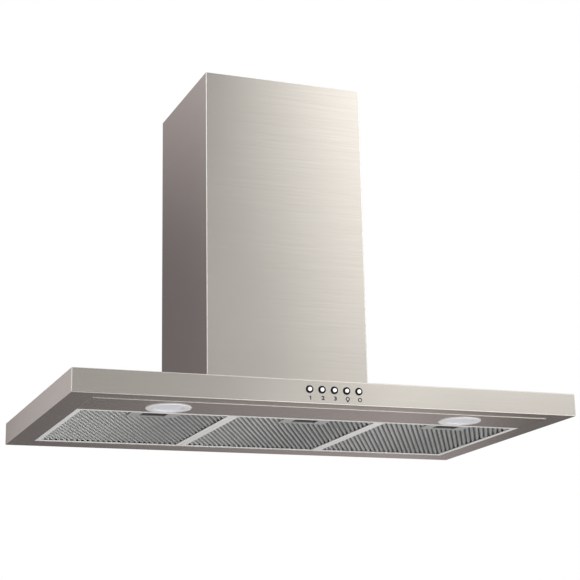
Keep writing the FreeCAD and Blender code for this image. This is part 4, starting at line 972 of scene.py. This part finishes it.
# %% [markdown]
# A push button is a small chromed cap with a domed rim and a dimple in its middle, in a wide ring of gloss
# black plastic whose barrel goes through the steel. Each is a turned part. A profile could be spun, but a
# lathe is more like this: a cylinder whose end faces are inset and extruded in steps, and whose rims are
# bevelled. The first button's parts are modelled in place, and the other four are copies.

# %% Turned parts
TURNED_SIDES = 48
NOT_ALONG = 0.1
BUTTON_NODES = ["button_1", "button_2", "button_3", "button_light", "button_off"]


def turned_blank(name, radius, front, length):
    """A rod at the place of the first button, with its axis along Y."""
    deselect()
    bpy.ops.mesh.primitive_cylinder_add(radius=radius, depth=length, vertices=TURNED_SIDES,
                                        rotation=(math.pi / 2, 0, 0),
                                        location=(BUTTON_X[0], front + length / 2, BUTTON_Z))
    blank = bpy.context.active_object
    blank.name = name
    bpy.ops.object.transform_apply(location=True, rotation=True, scale=True)
    return blank


def step_face(piece, side, inset, push):
    """Inset the end face on one side of a turned piece, then extrude it by the push."""
    end = max(side * vert.co.y for vert in piece.data.vertices)
    pick_faces(piece, lambda centre, turned: side * turned.y > FLAT and side * centre.y > end - NEAR)
    if inset:
        bpy.ops.mesh.inset(thickness=inset)
    if push:
        bpy.ops.mesh.extrude_region_move(TRANSFORM_OT_translate={"value": (0, push, 0)})
    bpy.ops.object.mode_set(mode="OBJECT")


def round_rim(piece, place, offset, steps):
    pick_edges(piece, lambda middle, along: abs(middle.y - place) < NEAR and abs(along.y) < NOT_ALONG)
    bpy.ops.mesh.bevel(offset=offset, segments=steps, affect="EDGES")
    bpy.ops.object.mode_set(mode="OBJECT")


print("buttons:", BUTTON_NODES)

# %% [markdown]
# A cap's front rim is rounded into a dome, its middle is sunk for the fingertip, and a thinner stem at its
# back reaches the switch.

# %% Button caps
CAP_RADIUS = 3.5 * MM
CAP_STAND = 3.5 * MM
CAP_LENGTH = 14.9 * MM
CAP_DOME = 1.5 * MM
DOME_STEPS = 6
DIMPLE_EDGE = 0.7 * MM
DIMPLE_DEPTH = 0.3 * MM
STEM_RADIUS = 1.6 * MM
STEM_LENGTH = 10 * MM

cap_front = -DEPTH - CAP_STAND
first_cap = turned_blank("first_cap", CAP_RADIUS, cap_front, CAP_LENGTH)
round_rim(first_cap, cap_front, CAP_DOME, DOME_STEPS)
step_face(first_cap, -1, CAP_RADIUS - CAP_DOME - DIMPLE_EDGE, DIMPLE_DEPTH)
step_face(first_cap, 1, CAP_RADIUS - STEM_RADIUS, STEM_LENGTH)
for name, x in zip(BUTTON_NODES, BUTTON_X):
    cap = copy_to(first_cap, name + "_cap", (x - BUTTON_X[0], 0, 0))
    finish_piece(cap, name)
    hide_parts(name)
bpy.data.objects.remove(first_cap)

# %% [markdown]
# A ring starts as a disc on the steel. Its back is inset and extruded into the barrel, and both ends get a
# small inner face, which is deleted. Bridging the two rims that are left makes the bore that the cap slides
# in.

# %% Button rings
RING_RADIUS = 6.4 * MM
RING_STAND = 1.4 * MM
RING_ROUND = 0.5 * MM
RIM_STEPS = 3
BORE_RADIUS = 3.75 * MM
BARREL_RADIUS = 5.0 * MM
BARREL_LENGTH = 11 * MM

ring_front = -DEPTH - RING_STAND
rings = turned_blank("button_rings", RING_RADIUS, ring_front, RING_STAND)
round_rim(rings, ring_front, RING_ROUND, RIM_STEPS)
step_face(rings, 1, RING_RADIUS - BARREL_RADIUS, BARREL_LENGTH)
step_face(rings, -1, RING_RADIUS - RING_ROUND - BORE_RADIUS, 0)
step_face(rings, 1, BARREL_RADIUS - BORE_RADIUS, 0)
pick_faces(rings, lambda centre, turned: abs(turned.y) > FLAT and abs(centre.x - BUTTON_X[0]) < NEAR
           and abs(centre.z - BUTTON_Z) < NEAR)
bpy.ops.mesh.delete(type="FACE")
pick_edges(rings, lambda middle, along: abs(along.y) < NOT_ALONG
           and math.hypot(middle.x - BUTTON_X[0], middle.z - BUTTON_Z) < BORE_RADIUS + NEAR)
bpy.ops.mesh.bridge_edge_loops()
bpy.ops.mesh.select_all(action="SELECT")
bpy.ops.mesh.normals_make_consistent(inside=False)
bpy.ops.object.mode_set(mode="OBJECT")

copies = [copy_to(rings, "ring_copy", (x - BUTTON_X[0], 0, 0)) for x in BUTTON_X[1:]]
activate(rings)
for copy in copies:
    copy.select_set(True)
bpy.ops.object.join()
finish_piece(rings, "button_bezels")
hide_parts("button_bezels")

# %% [markdown]
# Under the buttons stand a 1, a 2, a 3, a small bulb and a ring, screen-printed in dark ink. Ink could be a
# mask in the steel's material, but a thin solid on the front keeps its edge sharp in every view. The
# figures 2 and 3 start as text that is made a mesh.

# %% Figures 2 and 3
SIGN_Z = 9.9 * MM
SIGN_SHIFT = 1.6 * MM
SIGN_HEIGHT = 6.4 * MM
TEXT_SIZE = 1.38 * SIGN_HEIGHT
FIGURE_WIDTH = 1.22
FIGURE_WEIGHT = 0.38 * MM
INK = 0.05 * MM


def print_on_front(sign, name, x):
    activate(sign)
    sign.name = name
    bpy.ops.object.transform_apply(location=True, rotation=True, scale=True)
    sign.rotation_euler = (math.pi / 2, 0, 0)
    sign.location = (x + SIGN_SHIFT, -DEPTH, SIGN_Z)
    bpy.ops.object.transform_apply(location=True, rotation=True, scale=True)
    sign.data.materials.clear()
    sign.data.materials.append(finishes["ink"])
    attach(sign, "hood")
    print(name, len(sign.data.polygons), "faces")


for text, x in zip("23", BUTTON_X[1:]):
    deselect()
    bpy.ops.object.text_add()
    sign = bpy.context.active_object
    sign.data.body = text
    sign.data.size = TEXT_SIZE
    sign.data.offset = FIGURE_WEIGHT
    sign.scale.x = FIGURE_WIDTH
    sign.data.align_x = "CENTER"
    sign.data.align_y = "CENTER"
    sign.data.extrude = INK
    bpy.ops.object.convert(target="MESH")
    print_on_front(bpy.context.active_object, "sign_" + text, x)

# %% [markdown]
# The 1 is only a stroke and a short flag. Both are thin boxes, joined into one solid.

# %% Figure 1
STROKE = 1.6 * MM
FLAG_HALF = 1.1 * MM
FLAG_TURN = math.radians(40)
FLAG_PLACE = (-1.2 * MM, SIGN_HEIGHT / 2 - 1.6 * MM, 0)

one = start_box("stroke", (-STROKE / 2, -SIGN_HEIGHT / 2, -INK), (STROKE / 2, SIGN_HEIGHT / 2, INK))
flag = start_box("flag", (-FLAG_HALF, -STROKE / 2, -INK), (FLAG_HALF, STROKE / 2, INK))
flag.rotation_euler = (0, 0, FLAG_TURN)
flag.location = FLAG_PLACE
modify(one, "BOOLEAN", operation="UNION", object=flag, solver="EXACT")
bpy.data.objects.remove(flag)
print_on_front(one, "sign_1", BUTTON_X[0])

# %% [markdown]
# The bulb and the ring start as a disc that is inset, so that only its rim is left. The bulb also gets a
# small foot with rounded corners.

# %% Bulb and ring
RIM = 1.5 * MM
RIM_RADIUS = 3.7 * MM
RIM_SIDES = 32
BULB_UP = 0.6 * MM
FOOT_HALF = 1.5 * MM
FOOT_LOW = -4.9 * MM
FOOT_HIGH = -2.9 * MM
FOOT_MIDDLE = -3.5 * MM
FOOT_ROUND = 0.3 * MM


def rim(radius, centre_y):
    deselect()
    bpy.ops.mesh.primitive_circle_add(vertices=RIM_SIDES, radius=radius, fill_type="NGON",
                                      location=(0, centre_y, 0))
    ring = bpy.context.active_object
    bpy.ops.object.transform_apply(location=True)
    bpy.ops.object.mode_set(mode="EDIT")
    bpy.ops.mesh.select_all(action="SELECT")
    bpy.ops.mesh.inset(thickness=RIM)
    bpy.ops.mesh.delete(type="FACE")
    bpy.ops.object.mode_set(mode="OBJECT")
    modify(ring, "SOLIDIFY", thickness=2 * INK, offset=0)
    return ring


bulb = rim(RIM_RADIUS, BULB_UP)
foot = start_box("bulb_foot", (-FOOT_HALF, FOOT_LOW, -INK), (FOOT_HALF, FOOT_HIGH, INK))
pick_edges(foot, lambda middle, along: abs(along.z) > FLAT and middle.y < FOOT_MIDDLE)
bpy.ops.mesh.bevel(offset=FOOT_ROUND, segments=RIM_STEPS, affect="EDGES")
bpy.ops.object.mode_set(mode="OBJECT")
activate(bulb)
foot.select_set(True)
bpy.ops.object.join()
print_on_front(bulb, "sign_bulb", BUTTON_X[3])
print_on_front(rim(RIM_RADIUS, 0), "sign_ring", BUTTON_X[4])

# %% [markdown]
# Last, everything is deselected and the view layer is updated.

# %% Finish
deselect()
bpy.context.view_layer.update()
